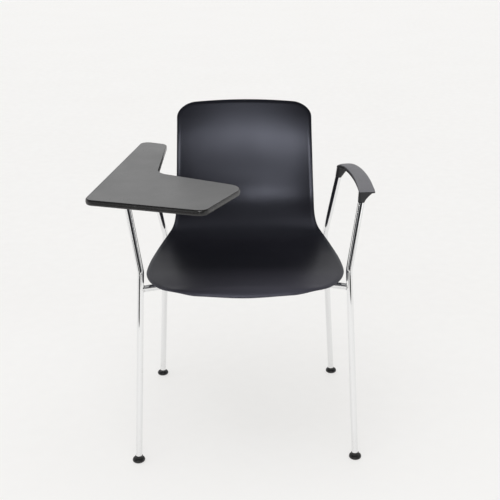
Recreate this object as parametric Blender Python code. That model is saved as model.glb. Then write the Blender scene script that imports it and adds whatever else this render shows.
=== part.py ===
"""Stacking classroom chair with a one-piece plastic shell, a chromed four-leg tube frame whose legs carry
on upwards as arm posts, a plastic armrest on one side and a folding, swivelling writing tablet on the other.

Metres, +Z up. The chair faces -Y. The tablet is on the -X side and the armrest is on the +X side.
Every dimension is worked out about the chair's centre plane x = 0 with the floor at z = 0. At the end the
whole chair is moved so that the origin is at the bottom centre of its bounding box.
"""

import math

import bmesh
import bpy
import numpy as np
from mathutils import Matrix, Vector

# Clearances
GAP = 0.0003
HOLE_GAP = 0.0004

# Chromed tube frame: points on the tubes' centre lines, for the +X side
TUBE_RADIUS = 0.008
TUBE_WALL = 0.0015
TUBE_SIDES = 12
BEND_RADIUS = 0.045
BEND_STEPS = 4
ROUND_SIDES = 18
SMALL_SIDES = 10
FRONT_FOOT = Vector((0.2697, -0.2360, 0.0))
FRONT_BEND = Vector((0.2468, -0.1868, 0.4860))
FRONT_POST_TOP = Vector((0.2722, -0.1670, 0.6458))
REAR_FOOT = Vector((0.2487, 0.2225, 0.0))
REAR_BEND = Vector((0.2162, 0.1465, 0.4620))
REAR_POST_TOP = Vector((0.2435, 0.0906, 0.6370))

# Cross tubes and the two rails that the shell is screwed to
FRONT_WELD_HEIGHT = 0.4445
REAR_WELD_HEIGHT = 0.4350
CROSS_TUBE_HEIGHT = 0.4200
CROSS_TUBE_HALF_STRAIGHT = 0.150
FRONT_CROSS_Y = -0.100
REAR_CROSS_Y = 0.090
RAIL_X = 0.105
RAIL_WIDTH = 0.028
RAIL_THICKNESS = 0.003
RAIL_ENDS_Y = (-0.122, 0.112)
RAIL_CORNER = 0.008

# Foot glides
GLIDE_RADIUS = 0.0154
GLIDE_HEIGHT = 0.0162
GLIDE_SHOULDER_HEIGHT = 0.0095
GLIDE_NECK_RADIUS = 0.0090
GLIDE_SOLE_RADIUS = 0.0092
GLIDE_WIDEST = 0.0046
GLIDE_SHOULDER = 0.0030
GLIDE_CURVE_STEPS = 5
GLIDE_PLUG_RADIUS = 0.0060
GLIDE_PLUG_LENGTH = 0.020

# Seat shell: stations along the centre line of the sitting surface, from the front lip to the top of the
# back: (y, z, half width, how far the sides stand towards the sitter)
SHELL_STATIONS = (
    (-0.2610, 0.4500, 0.2430, 0.0000),
    (-0.2525, 0.4585, 0.2430, -0.0070),
    (-0.2150, 0.4655, 0.2430, -0.0120),
    (-0.1500, 0.4625, 0.2430, -0.0075),
    (-0.0800, 0.4545, 0.2425, 0.0005),
    (-0.0100, 0.4475, 0.2375, 0.0080),
    (0.0500, 0.4440, 0.2280, 0.0140),
    (0.1000, 0.4480, 0.2150, 0.0190),
    (0.1400, 0.4640, 0.1985, 0.0230),
    (0.1620, 0.4955, 0.1870, 0.0260),
    (0.1860, 0.5450, 0.1835, 0.0260),
    (0.2015, 0.6000, 0.1820, 0.0240),
    (0.2145, 0.6650, 0.1805, 0.0200),
    (0.2300, 0.7350, 0.1790, 0.0150),
    (0.2515, 0.8095, 0.1790, 0.0080),
)
SHELL_WALL = 0.005
SHELL_RIM_ROUNDING = 0.0016
SHELL_COLUMNS = 12
SHELL_MIDDLE_ROWS = 16
FRONT_CORNER_WIDTH = 0.130
FRONT_CORNER_LENGTH = 0.180
FRONT_CORNER_ROWS = 7
FRONT_BOW = 0.058
FRONT_BOW_EASE = 3.6
BACK_CORNER_RADIUS = 0.047
BACK_CORNER_ROWS = 4
BACK_BOW = 0.0115
SIDE_CURVE_POWER = 2.2

# Bosses under the shell and their screws
BOSS_RADIUS = 0.0095
BOSS_Y = (-0.060, 0.050)
SCREW_RADIUS = 0.0029
SCREW_HEAD_RADIUS = 0.0055
SCREW_HEAD_HEIGHT = 0.0036
SCREW_TIP = 0.4370

# Armrest: stations along the pad, front to rear: (x, y, z of the top, width, thickness)
PAD_STATIONS = (
    (0.2844, -0.1790, 0.6760, 0.0372, 0.0045),
    (0.2844, -0.1740, 0.6772, 0.0378, 0.0060),
    (0.2840, -0.1500, 0.6812, 0.0380, 0.0085),
    (0.2828, -0.1100, 0.6850, 0.0380, 0.0115),
    (0.2792, -0.0550, 0.6872, 0.0380, 0.0135),
    (0.2732, -0.0050, 0.6870, 0.0380, 0.0140),
    (0.2644, 0.0420, 0.6835, 0.0375, 0.0140),
    (0.2562, 0.0740, 0.6765, 0.0355, 0.0130),
    (0.2522, 0.0880, 0.6705, 0.0320, 0.0100),
)
PAD_CORNER_POWER = 3.2
PAD_SIDES = 14
COLLAR_SIDES = 12
COLLAR_STEPS = 4
COLLAR_INSET = 0.002
COLLAR_DEEPENING = 0.004
FRONT_COLLAR_TOP = Vector((0.2835, -0.1655, 0.6745))
REAR_COLLAR_TOP = Vector((0.2560, 0.0765, 0.6680))
SPIGOT_RADIUS = 0.0060
SPIGOT_LENGTH = 0.030

# Writing tablet: corners of the board seen from above, with the radius of each: (x, y, radius)
BOARD_CORNERS = (
    (-0.3470, -0.3050, 0.022),
    (-0.0810, -0.3930, 0.022),
    (0.0045, -0.2135, 0.044),
    (-0.2050, -0.0920, 0.045),
    (-0.2060, 0.1920, 0.026),
    (-0.2755, 0.2280, 0.020),
)
BOARD_CORNER_STEPS = 6
BOARD_TOP = 0.7020
BOARD_THICKNESS = 0.0130
BOARD_EDGE_ROUNDING = 0.0028

# Tablet mechanism. It is set out in the arm's own frame: x inboard and y rearward from the front post's top
ARM_BAR_WIDTH = 0.030
ARM_BAR_THICKNESS = 0.008
ARM_BAR_OVERHANG = 0.016
PLATE_THICKNESS = 0.003
WASHER_THICKNESS = 0.001
REST_PAD_HEIGHT = 0.004
REST_PAD_RADIUS = 0.007
REST_PADS_Y = (0.030, 0.215)
REST_PAD_X = 0.003
HINGE_X = -0.030
HINGE_DROP = 0.0111
KNUCKLE_RADIUS = 0.0055
HINGE_PIN_RADIUS = 0.0025
FIXED_KNUCKLES_Y = ((0.010, 0.040), (0.185, 0.215))
HINGE_PIN_ENDS_Y = (0.004, 0.221)
CARRIER_X = (-0.034, 0.022)
CARRIER_Y = (-0.010, 0.300)
CARRIER_CORNER = 0.010
PIVOT = Vector((-0.268, 0.112))
PIVOT_BOLT_RADIUS = 0.0040
PIVOT_HEAD_RADIUS = 0.0085
PIVOT_HEAD_HEIGHT = 0.0040
PIVOT_NUT_ACROSS_CORNERS = 0.0150
PIVOT_NUT_HEIGHT = 0.0065
PIVOT_WASHER_RADIUS = 0.0150
SWIVEL_PLATE_SIZE = (0.056, 0.110)
SWIVEL_PLATE_SHIFT = (0.020, -0.010)
SWIVEL_PLATE_CORNER = 0.010
BOARD_SCREW_INSET = 0.010
BOARD_SCREW_RADIUS = 0.0019
BOARD_SCREW_HEAD_RADIUS = 0.0038
BOARD_SCREW_LENGTH = 0.0070

# Heights that follow from the board's: the stack of the mechanism, from the top down
BOARD_BOTTOM = BOARD_TOP - BOARD_THICKNESS
SWIVEL_PLATE_TOP = BOARD_BOTTOM - GAP
SWIVEL_PLATE_BOTTOM = SWIVEL_PLATE_TOP - PLATE_THICKNESS
WASHER_TOP = SWIVEL_PLATE_BOTTOM - GAP
WASHER_BOTTOM = WASHER_TOP - WASHER_THICKNESS
CARRIER_TOP = WASHER_BOTTOM - GAP
CARRIER_BOTTOM = CARRIER_TOP - PLATE_THICKNESS
REST_PAD_TOP = CARRIER_BOTTOM - GAP
ARM_BAR_TOP = REST_PAD_TOP - REST_PAD_HEIGHT - GAP
ARM_BAR_BOTTOM = ARM_BAR_TOP - ARM_BAR_THICKNESS
HINGE_HEIGHT = CARRIER_TOP - HINGE_DROP

LEG_BOTTOM = GLIDE_HEIGHT + GAP
RAIL_BOTTOM = CROSS_TUBE_HEIGHT + TUBE_RADIUS + GAP
RAIL_TOP = RAIL_BOTTOM + RAIL_THICKNESS
BOSS_BOTTOM = RAIL_TOP + GAP

# Colour, roughness and metallic value of each material
MATERIALS = {
    "chrome": ((0.80, 0.80, 0.81), 0.06, 1.0),
    "shell_plastic": ((0.022, 0.022, 0.026), 0.42, 0.0),
    "armrest_plastic": ((0.035, 0.035, 0.038), 0.55, 0.0),
    "glide_plastic": ((0.012, 0.012, 0.013), 0.45, 0.0),
    "tablet_laminate": ((0.12, 0.12, 0.123), 0.40, 0.0),
    "black_steel": ((0.025, 0.025, 0.027), 0.40, 0.6),
    "zinc_steel": ((0.55, 0.56, 0.58), 0.30, 1.0),
    "rubber": ((0.015, 0.015, 0.015), 0.80, 0.0),
}


def clear_scene():
    for thing in list(bpy.data.objects):
        bpy.data.objects.remove(thing, do_unlink=True)


def make_materials():
    """One Principled material for each entry of MATERIALS."""
    for name, (colour, roughness, metallic) in MATERIALS.items():
        material = bpy.data.materials.new(name)
        material.use_nodes = True
        shader = material.node_tree.nodes["Principled BSDF"]
        shader.inputs["Base Color"].default_value = (*colour, 1.0)
        shader.inputs["Roughness"].default_value = roughness
        shader.inputs["Metallic"].default_value = metallic


def new_object(name, mesh, material, parent):
    thing = bpy.data.objects.new(name, mesh)
    if material:
        mesh.materials.append(bpy.data.materials[material])
    else:
        thing.hide_render = True
        thing.display_type = "WIRE"
    thing.parent = parent
    bpy.context.collection.objects.link(thing)
    return thing


def mesh_object(name, points, faces, material, parent):
    """An object from points and faces, with its normals facing outwards. No material makes a cutter."""
    mesh = bpy.data.meshes.new(name)
    mesh.from_pydata([tuple(point) for point in points], [], faces)
    shape = bmesh.new()
    shape.from_mesh(mesh)
    bmesh.ops.recalc_face_normals(shape, faces=shape.faces)
    shape.to_mesh(mesh)
    shape.free()
    return new_object(name, mesh, material, parent)


def cut(thing, cutter, operation="DIFFERENCE"):
    modifier = thing.modifiers.new(cutter.name, "BOOLEAN")
    modifier.operation = operation
    modifier.object = cutter
    modifier.solver = "EXACT"


def round_edges(thing, width, segments=2, angle=40):
    modifier = thing.modifiers.new("edge rounding", "BEVEL")
    modifier.width = width
    modifier.segments = segments
    modifier.limit_method = "ANGLE"
    modifier.angle_limit = math.radians(angle)


def at_height(start, end, height):
    """The point of the line through start and end that lies at a height."""
    return start.lerp(end, (height - start.z) / (end.z - start.z))


def mirrored(point):
    return Vector((-point.x, point.y, point.z))


def circle(radius, sides):
    """Points of a circle whose facets lie half outside and half inside it, so that its area stays true."""
    turns = [2 * math.pi * (step + 0.5) / sides for step in range(sides)]
    return [Vector((radius * math.cos(turn), radius * math.sin(turn))) for turn in turns]


def fillet(before, corner, after, radius, steps):
    """Points of the arc that rounds a corner."""
    back = (before - corner).normalized()
    ahead = (after - corner).normalized()
    half = back.angle(ahead) / 2
    centre = corner + (back + ahead).normalized() * (radius / math.sin(half))
    start = corner + back * (radius / math.tan(half)) - centre
    finish = corner + ahead * (radius / math.tan(half)) - centre
    sweep = math.pi - 2 * half
    shares = [step / steps for step in range(steps + 1)]
    return [
        centre + (start * math.sin((1 - share) * sweep) + finish * math.sin(share * sweep)) / math.sin(sweep)
        for share in shares
    ]


def rounded_path(points, radius=BEND_RADIUS):
    """The path through the points, with an arc at each inner one."""
    path = [points[0]]
    for before, corner, after in zip(points, points[1:], points[2:]):
        path += fillet(before, corner, after, radius, BEND_STEPS)
    return path + [points[-1]]


def rounded_outline(corners, steps=BOARD_CORNER_STEPS):
    """The closed outline of a flat piece from its corners, each (x, y, radius)."""
    outline = []
    count = len(corners)
    for index, (x, y, radius) in enumerate(corners):
        before = Vector(corners[index - 1][:2])
        after = Vector(corners[(index + 1) % count][:2])
        outline += fillet(before, Vector((x, y)), after, radius, steps)
    return outline


def rectangle(x_ends, y_ends, radius):
    (x0, x1), (y0, y1) = x_ends, y_ends
    return rounded_outline([(x0, y0, radius), (x1, y0, radius), (x1, y1, radius), (x0, y1, radius)], 3)


def loft(name, rings, material, parent, closed=False):
    """A skin over rings of equal length, with flat ends, or closed into a loop."""
    sides = len(rings[0])
    count = len(rings)
    faces = []
    for ring in range(count if closed else count - 1):
        here = ring * sides
        there = (ring + 1) % count * sides
        for side in range(sides):
            beside = (side + 1) % sides
            faces.append((here + side, here + beside, there + beside, there + side))
    if not closed:
        faces.append(tuple(range(sides)))
        faces.append(tuple(range((count - 1) * sides, count * sides)))
    return mesh_object(name, [point for ring in rings for point in ring], faces, material, parent)


def ring_along(path, index, radius, sides):
    """A circle round the tube's path. Ends are cut level with the floor, or across a level tube."""
    ahead = path[min(index + 1, len(path) - 1)]
    behind = path[max(index - 1, 0)]
    along = (ahead - behind).normalized()
    level = abs(along.z) < 0.5
    across = Vector((0, 0, 1)) if level else Vector((1, 0, 0))
    first = (across - along * across.dot(along)).normalized()
    second = along.cross(first)
    ring = [path[index] + first * point.x + second * point.y for point in circle(radius, sides)]
    if index in (0, len(path) - 1) and not level:
        ring = [point - along * ((point.z - path[index].z) / along.z) for point in ring]
    return ring


def tube(name, path, material, parent):
    """A hollow tube along a path, with open ends."""
    order = range(len(path))
    outside = [ring_along(path, index, TUBE_RADIUS, TUBE_SIDES) for index in order]
    inside = [ring_along(path, index, TUBE_RADIUS - TUBE_WALL, TUBE_SIDES) for index in reversed(order)]
    return loft(name, outside + inside, material, parent, closed=True)


def rod(name, start, end, radius, material, parent, sides=TUBE_SIDES):
    """A solid round bar from start to end."""
    turn = (end - start).to_track_quat("Z", "Y").to_matrix()
    shape = circle(radius, sides)
    rings = [[foot + turn @ Vector((*point, 0)) for point in shape] for foot in (start, end)]
    return loft(name, rings, material, parent)


def level_ring(centre, radius, sides=ROUND_SIDES):
    return [centre + Vector((*point, 0)) for point in circle(radius, sides)]


def turned(name, profile, centre, material, parent, sides=ROUND_SIDES):
    """A solid turned about a vertical axis from a profile of (radius, height) points, bottom to top."""
    rings = [level_ring(Vector((centre[0], centre[1], height)), radius, sides) for radius, height in profile]
    return loft(name, rings, material, parent)


def slab(name, outline, bottom, top, material, parent):
    """A flat piece with the given outline."""
    rings = [[Vector((point.x, point.y, height)) for point in outline] for height in (bottom, top)]
    return loft(name, rings, material, parent)


def bolt_profile(head_radius, head_bottom, head_top, radius, tip, chamfer=0.0008):
    """Profile of a bolt that points up, with its head below."""
    return (
        (head_radius - chamfer, head_bottom),
        (head_radius, head_bottom + chamfer),
        (head_radius, head_top),
        (radius, head_top),
        (radius, tip - chamfer),
        (radius - chamfer, tip),
    )


# Frame

def make_leg(name, points, parent):
    return tube(name, rounded_path(points), "chrome", parent)


def leg_points(foot, bend, post_top, post_height):
    """Centre line of a leg and of the arm post that it turns into."""
    return [at_height(foot, bend, LEG_BOTTOM), bend, at_height(bend, post_top, post_height)]


def make_legs(parent):
    """The right posts end at the armrest's collars, and the left ones run on up to the arm bar."""
    left_height = ARM_BAR_BOTTOM - GAP
    lines = (
        ("front", FRONT_FOOT, FRONT_BEND, FRONT_POST_TOP),
        ("rear", REAR_FOOT, REAR_BEND, REAR_POST_TOP),
    )
    for place, foot, bend, post_top in lines:
        right = leg_points(foot, bend, post_top, post_top.z - GAP)
        left = [mirrored(point) for point in leg_points(foot, bend, post_top, left_height)]
        make_leg(f"{place}_right_leg", right, parent)
        make_leg(f"{place}_left_leg", left, parent)


def make_cross_tube(name, foot, bend, weld_height, straight_y, parent):
    """A tube welded between two legs. It runs in from each leg at an angle, then goes straight across."""
    weld = at_height(foot, bend, weld_height)
    inner = Vector((CROSS_TUBE_HALF_STRAIGHT, straight_y, CROSS_TUBE_HEIGHT))
    path = rounded_path([mirrored(weld), mirrored(inner), inner, weld])
    cross_tube = tube(name, path, "chrome", parent)
    below = at_height(foot, bend, weld_height - 0.04)
    above = at_height(foot, bend, weld_height + 0.04)
    radius = TUBE_RADIUS + GAP
    cut(cross_tube, rod(f"{name}_right_saddle", below, above, radius, None, parent))
    cut(cross_tube, rod(f"{name}_left_saddle", mirrored(below), mirrored(above), radius, None, parent))


def make_rail(side, x, parent):
    """A flat steel rail on the cross tubes, with a hole for each shell screw."""
    half = RAIL_WIDTH / 2
    outline = rectangle((x - half, x + half), RAIL_ENDS_Y, RAIL_CORNER)
    rail = slab(f"{side}_seat_rail", outline, RAIL_BOTTOM, RAIL_TOP, "black_steel", parent)
    for place, y in zip(("front", "rear"), BOSS_Y):
        low = Vector((x, y, RAIL_BOTTOM - RAIL_THICKNESS))
        high = Vector((x, y, RAIL_TOP + RAIL_THICKNESS))
        hole = rod(f"{side}_rail_{place}_hole", low, high, SCREW_RADIUS + HOLE_GAP, None, parent)
        cut(rail, hole)


def make_glide(name, foot, bend, parent):
    """A round plastic foot: a bun, a neck that the leg stands on, and a plug in the leg's open end."""
    middle = at_height(foot, bend, 0.0)
    turns = [math.pi / 2 * step / GLIDE_CURVE_STEPS for step in range(GLIDE_CURVE_STEPS + 1)]
    flare = GLIDE_RADIUS - GLIDE_SOLE_RADIUS
    rise = GLIDE_SHOULDER_HEIGHT - GLIDE_WIDEST
    profile = []
    for turn in turns:
        profile.append((GLIDE_SOLE_RADIUS + flare * math.sin(turn), GLIDE_WIDEST * (1 - math.cos(turn))))
    for turn in turns[1:]:
        radius = GLIDE_RADIUS - GLIDE_SHOULDER * (1 - math.cos(turn))
        profile.append((radius, GLIDE_WIDEST + rise * math.sin(turn)))
    rings = [level_ring(Vector((middle.x, middle.y, height)), radius) for radius, height in profile]
    upper = (
        (GLIDE_NECK_RADIUS, GLIDE_SHOULDER_HEIGHT),
        (GLIDE_NECK_RADIUS, GLIDE_HEIGHT),
        (GLIDE_PLUG_RADIUS, GLIDE_HEIGHT),
        (GLIDE_PLUG_RADIUS, GLIDE_HEIGHT + GLIDE_PLUG_LENGTH),
    )
    for radius, height in upper:
        rings.append(level_ring(at_height(foot, bend, height), radius))
    loft(name, rings, "glide_plastic", parent)


def make_glides(parent):
    for place, foot, bend in (("front", FRONT_FOOT, FRONT_BEND), ("rear", REAR_FOOT, REAR_BEND)):
        make_glide(f"{place}_right_glide", foot, bend, parent)
        make_glide(f"{place}_left_glide", mirrored(foot), mirrored(bend), parent)


# Seat shell

def through(stations, samples=40):
    """A smooth curve through the stations: a Catmull-Rom spline, sampled."""
    points = np.array(stations, float)
    ends = np.vstack([2 * points[0] - points[1], points, 2 * points[-1] - points[-2]])
    curve = []
    for before, start, end, after in zip(ends, ends[1:], ends[2:], ends[3:]):
        for step in range(samples):
            t = step / samples
            curve.append(
                0.5 * (2 * start + (end - before) * t + (2 * before - 5 * start + 4 * end - after) * t**2
                       + (3 * start - before - 3 * end + after) * t**3)
            )
    return np.array(curve + [points[-1]])


def shell_rows(length):
    """Distances along the shell's centre line at which it has rows of points, closer at the ends."""
    front_turns = np.linspace(0, math.pi / 2, FRONT_CORNER_ROWS)
    front = [FRONT_CORNER_LENGTH * (1 - math.cos(turn)) for turn in front_turns]
    last = length - BACK_CORNER_RADIUS
    middle = list(np.linspace(FRONT_CORNER_LENGTH, last, SHELL_MIDDLE_ROWS + 1))[1:]
    back_turns = np.linspace(0, math.pi / 2, BACK_CORNER_ROWS + 1)[1:]
    back = [last + BACK_CORNER_RADIUS * math.sin(turn) for turn in back_turns]
    return front + middle + back


def corner_share(distance, length):
    """How far into a rounded corner a row is: 0 where the corner starts and 1 at the edge."""
    return max(0.0, 1 - distance / length)


def shell_row(distance, length, line, distances):
    """One row of points across the sitting surface."""
    y, z, full_width, lift = [np.interp(distance, distances, column) for column in line.T]
    ahead, behind = [
        np.array([np.interp(distance + shift, distances, column) for column in line.T[:2]])
        for shift in (0.004, -0.004)
    ]
    along = (ahead - behind) / np.linalg.norm(ahead - behind)
    towards_sitter = np.array([-along[1], along[0]])
    front = corner_share(distance, FRONT_CORNER_LENGTH)
    back = corner_share(length - distance, BACK_CORNER_RADIUS)
    half_width = full_width - FRONT_CORNER_WIDTH * (1 - math.sqrt(1 - front**2))
    half_width -= BACK_CORNER_RADIUS * (1 - math.sqrt(1 - back**2))
    row = []
    for x in half_width * np.linspace(-1, 1, SHELL_COLUMNS + 1):
        share = abs(x) / full_width
        rise = lift * share**SIDE_CURVE_POWER
        front_bow = FRONT_BOW * front / (1 + FRONT_BOW_EASE * share**2)
        lag = (front_bow - BACK_BOW * back) * share**2
        place = np.array([y, z]) + towards_sitter * rise + along * lag
        row.append((x, place[0], place[1]))
    return row


def make_shell(parent):
    """The one-piece seat and back, with a moulded boss and a blind hole over each rail hole."""
    line = through(SHELL_STATIONS)
    steps = np.linalg.norm(np.diff(line[:, :2], axis=0), axis=1)
    distances = np.concatenate([[0.0], np.cumsum(steps)])
    length = distances[-1]
    points = []
    for distance in shell_rows(length):
        points += shell_row(distance, length, line, distances)
    across = SHELL_COLUMNS + 1
    faces = []
    for row in range(len(points) // across - 1):
        for column in range(SHELL_COLUMNS):
            corner = row * across + column
            faces.append((corner, corner + 1, corner + across + 1, corner + across))
    mesh = bpy.data.meshes.new("seat_shell")
    mesh.from_pydata(points, [], faces)
    shell = new_object("seat_shell", mesh, "shell_plastic", parent)
    wall = shell.modifiers.new("wall", "SOLIDIFY")
    wall.thickness = SHELL_WALL
    wall.offset = -1.0
    wall.use_even_offset = True
    round_edges(shell, SHELL_RIM_ROUNDING, angle=50)
    add_bosses(shell, parent)


def add_bosses(shell, parent):
    for side, x in (("left", -RAIL_X), ("right", RAIL_X)):
        for place, y in zip(("front", "rear"), BOSS_Y):
            foot = Vector((x, y, BOSS_BOTTOM))
            top = Vector((x, y, shell_underside(y) + SHELL_WALL / 2))
            cut(shell, rod(f"{side}_{place}_boss", foot, top, BOSS_RADIUS, None, parent), "UNION")
            hole_foot = foot - Vector((0, 0, SHELL_WALL))
            hole_top = Vector((x, y, SCREW_TIP + GAP))
            radius = SCREW_RADIUS + HOLE_GAP
            cut(shell, rod(f"{side}_{place}_boss_hole", hole_foot, hole_top, radius, None, parent))


def shell_underside(y):
    """Height of the shell's lower face on its centre line."""
    line = through(SHELL_STATIONS)
    seat = line[line[:, 0] < 0.1]
    return float(np.interp(y, seat[:, 0], seat[:, 1])) - SHELL_WALL


def make_shell_screws(parent):
    profile = bolt_profile(
        SCREW_HEAD_RADIUS, RAIL_BOTTOM - GAP - SCREW_HEAD_HEIGHT, RAIL_BOTTOM - GAP, SCREW_RADIUS, SCREW_TIP
    )
    for side, x in (("left", -RAIL_X), ("right", RAIL_X)):
        for place, y in zip(("front", "rear"), BOSS_Y):
            turned(f"{side}_{place}_shell_screw", profile, (x, y), "zinc_steel", parent, sides=SMALL_SIDES)


# Armrest

def pad_section(width, thickness):
    """Outline of the pad across its length: a rounded box with its top at 0."""
    section = []
    for step in range(PAD_SIDES):
        turn = 2 * math.pi * (step + 0.5) / PAD_SIDES
        across = math.copysign(abs(math.cos(turn)) ** (2 / PAD_CORNER_POWER), math.cos(turn))
        up = math.copysign(abs(math.sin(turn)) ** (2 / PAD_CORNER_POWER), math.sin(turn))
        section.append((across * width / 2, (up - 1) * thickness / 2))
    return section


def make_collar(name, bend, post_top, pad_centre, pad_width, parent):
    """The neck from a post's end up into the pad, with the spigot that plugs into the post."""
    spigot_foot = at_height(bend, post_top, post_top.z - SPIGOT_LENGTH)
    rings = [level_ring(centre, SPIGOT_RADIUS, COLLAR_SIDES) for centre in (spigot_foot, post_top)]
    for step in range(COLLAR_STEPS + 1):
        share = step / COLLAR_STEPS
        centre = post_top.lerp(pad_centre, share)
        half_width = TUBE_RADIUS + (pad_width / 2 - COLLAR_INSET - TUBE_RADIUS) * share**2
        half_depth = TUBE_RADIUS + COLLAR_DEEPENING * share**2
        rings.append([
            centre + Vector((point.x * half_width, point.y * half_depth, 0))
            for point in circle(1.0, COLLAR_SIDES)
        ])
    return loft(name, rings, None, parent)


def make_armrest(parent):
    """The pad with a collar at each end, as one moulding."""
    rings = []
    stations = [Vector(station[:3]) for station in PAD_STATIONS]
    for index, (x, y, top, width, thickness) in enumerate(PAD_STATIONS):
        ahead = stations[min(index + 1, len(stations) - 1)]
        behind = stations[max(index - 1, 0)]
        along = (ahead - behind).normalized()
        across = along.cross(Vector((0, 0, 1))).normalized()
        up = across.cross(along)
        centre = Vector((x, y, top))
        rings.append([centre + across * out + up * rise for out, rise in pad_section(width, thickness)])
    armrest = loft("armrest", rings, "armrest_plastic", parent)
    front_width = PAD_STATIONS[1][3]
    rear_width = PAD_STATIONS[-1][3]
    ends = (
        ("front_collar", FRONT_BEND, FRONT_POST_TOP, FRONT_COLLAR_TOP, front_width),
        ("rear_collar", REAR_BEND, REAR_POST_TOP, REAR_COLLAR_TOP, rear_width),
    )
    for name, bend, post_top, collar_top, width in ends:
        cut(armrest, make_collar(name, bend, post_top, collar_top, width, parent), "UNION")


# Writing tablet and its mechanism

def arm_frame():
    """Where the arm's own frame stands: its origin over the front post's top, and its angle."""
    front = mirrored(at_height(FRONT_BEND, FRONT_POST_TOP, ARM_BAR_BOTTOM))
    rear = mirrored(at_height(REAR_BEND, REAR_POST_TOP, ARM_BAR_BOTTOM))
    line = rear - front
    return Vector((front.x, front.y, 0)), -math.atan2(line.x, line.y), math.hypot(line.x, line.y)


def new_empty(name, location, angle, parent):
    empty = bpy.data.objects.new(name, None)
    empty.location = location
    empty.rotation_euler = (0, 0, angle)
    empty.parent = parent
    bpy.context.collection.objects.link(empty)
    return empty


def make_arm_bar(arm, post_spacing):
    """The flat bar across the left posts, with a lug and a hinge knuckle at each end of the hinge."""
    half = ARM_BAR_WIDTH / 2
    ends = (-ARM_BAR_OVERHANG, post_spacing + ARM_BAR_OVERHANG)
    outline = rectangle((-half, half), ends, 0.006)
    bar = slab("tablet_arm_bar", outline, ARM_BAR_BOTTOM, ARM_BAR_TOP, "black_steel", arm)
    for place, (start, end) in zip(("front", "rear"), FIXED_KNUCKLES_Y):
        foot = Vector((HINGE_X, start, HINGE_HEIGHT))
        tip = Vector((HINGE_X, end, HINGE_HEIGHT))
        cut(bar, rod(f"bar_{place}_knuckle", foot, tip, KNUCKLE_RADIUS, None, arm), "UNION")
        inset = GAP
        lug = rectangle((HINGE_X + inset, -half + 0.002), (start + inset, end - inset), 0.0005)
        low = HINGE_HEIGHT - KNUCKLE_RADIUS + 0.001
        cut(bar, slab(f"bar_{place}_lug", lug, low, HINGE_HEIGHT + 0.001, None, arm), "UNION")
    cut(bar, hinge_bore("bar_bore", arm))


def hinge_bore(name, parent):
    foot = Vector((HINGE_X, HINGE_PIN_ENDS_Y[0] - 0.01, HINGE_HEIGHT))
    tip = Vector((HINGE_X, HINGE_PIN_ENDS_Y[1] + 0.01, HINGE_HEIGHT))
    return rod(name, foot, tip, HINGE_PIN_RADIUS + HOLE_GAP, None, parent)


def make_rest_pads(arm):
    low = ARM_BAR_TOP + GAP
    profile = (
        (REST_PAD_RADIUS, low),
        (REST_PAD_RADIUS, REST_PAD_TOP - 0.001),
        (REST_PAD_RADIUS - 0.001, REST_PAD_TOP),
    )
    for place, y in zip(("front", "rear"), REST_PADS_Y):
        turned(f"{place}_rest_pad", profile, (REST_PAD_X, y), "rubber", arm, sides=ROUND_SIDES)


def make_carrier(hinge, pivot_in_arm):
    """The folding plate: flat on top, with one long knuckle hanging from its outer edge."""
    shift = Vector((HINGE_X, 0))
    outline = [point - shift for point in rectangle(CARRIER_X, CARRIER_Y, CARRIER_CORNER)]
    low = CARRIER_BOTTOM - HINGE_HEIGHT
    high = CARRIER_TOP - HINGE_HEIGHT
    carrier = slab("carrier_plate", outline, low, high, "black_steel", hinge)
    start = FIXED_KNUCKLES_Y[0][1] + GAP
    end = FIXED_KNUCKLES_Y[1][0] - GAP
    knuckle = rod("carrier_knuckle", Vector((0, start, 0)), Vector((0, end, 0)), KNUCKLE_RADIUS, None, hinge)
    cut(carrier, knuckle, "UNION")
    inset = GAP
    web = rectangle((-KNUCKLE_RADIUS + inset, -KNUCKLE_RADIUS + 0.003), (start + inset, end - inset), 0.0005)
    cut(carrier, slab("carrier_web", web, 0.0005, low + 0.001, None, hinge), "UNION")
    bore_start = Vector((0, start - 0.01, 0))
    bore_end = Vector((0, end + 0.01, 0))
    radius = HINGE_PIN_RADIUS + HOLE_GAP
    cut(carrier, rod("carrier_bore", bore_start, bore_end, radius, None, hinge))
    hole = pivot_in_arm - shift
    below = Vector((hole.x, hole.y, low - 0.002))
    above = Vector((hole.x, hole.y, high + 0.002))
    cut(carrier, rod("carrier_pivot_hole", below, above, PIVOT_BOLT_RADIUS + HOLE_GAP, None, hinge))


def make_hinge_pin(arm):
    foot = Vector((HINGE_X, HINGE_PIN_ENDS_Y[0], HINGE_HEIGHT))
    tip = Vector((HINGE_X, HINGE_PIN_ENDS_Y[1], HINGE_HEIGHT))
    pin = rod("hinge_pin", foot, tip, HINGE_PIN_RADIUS, "zinc_steel", arm)
    round_edges(pin, 0.0005, segments=1)


def make_friction_washer(hinge, pivot_in_arm):
    x, y = pivot_in_arm - Vector((HINGE_X, 0))
    low = WASHER_BOTTOM - HINGE_HEIGHT
    high = WASHER_TOP - HINGE_HEIGHT
    hole = PIVOT_BOLT_RADIUS + HOLE_GAP
    corners = ((hole, low), (PIVOT_WASHER_RADIUS, low), (PIVOT_WASHER_RADIUS, high), (hole, high))
    rings = [level_ring(Vector((x, y, height)), radius) for radius, height in corners]
    loft("friction_washer", rings, "glide_plastic", hinge, closed=True)


def screw_places():
    """Where the tablet's four screws are, from the pivot."""
    half_x, half_y = [size / 2 - BOARD_SCREW_INSET for size in SWIVEL_PLATE_SIZE]
    middle = Vector(SWIVEL_PLATE_SHIFT)
    return [middle + Vector((x, y)) for x in (-half_x, half_x) for y in (-half_y, half_y)]


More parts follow.
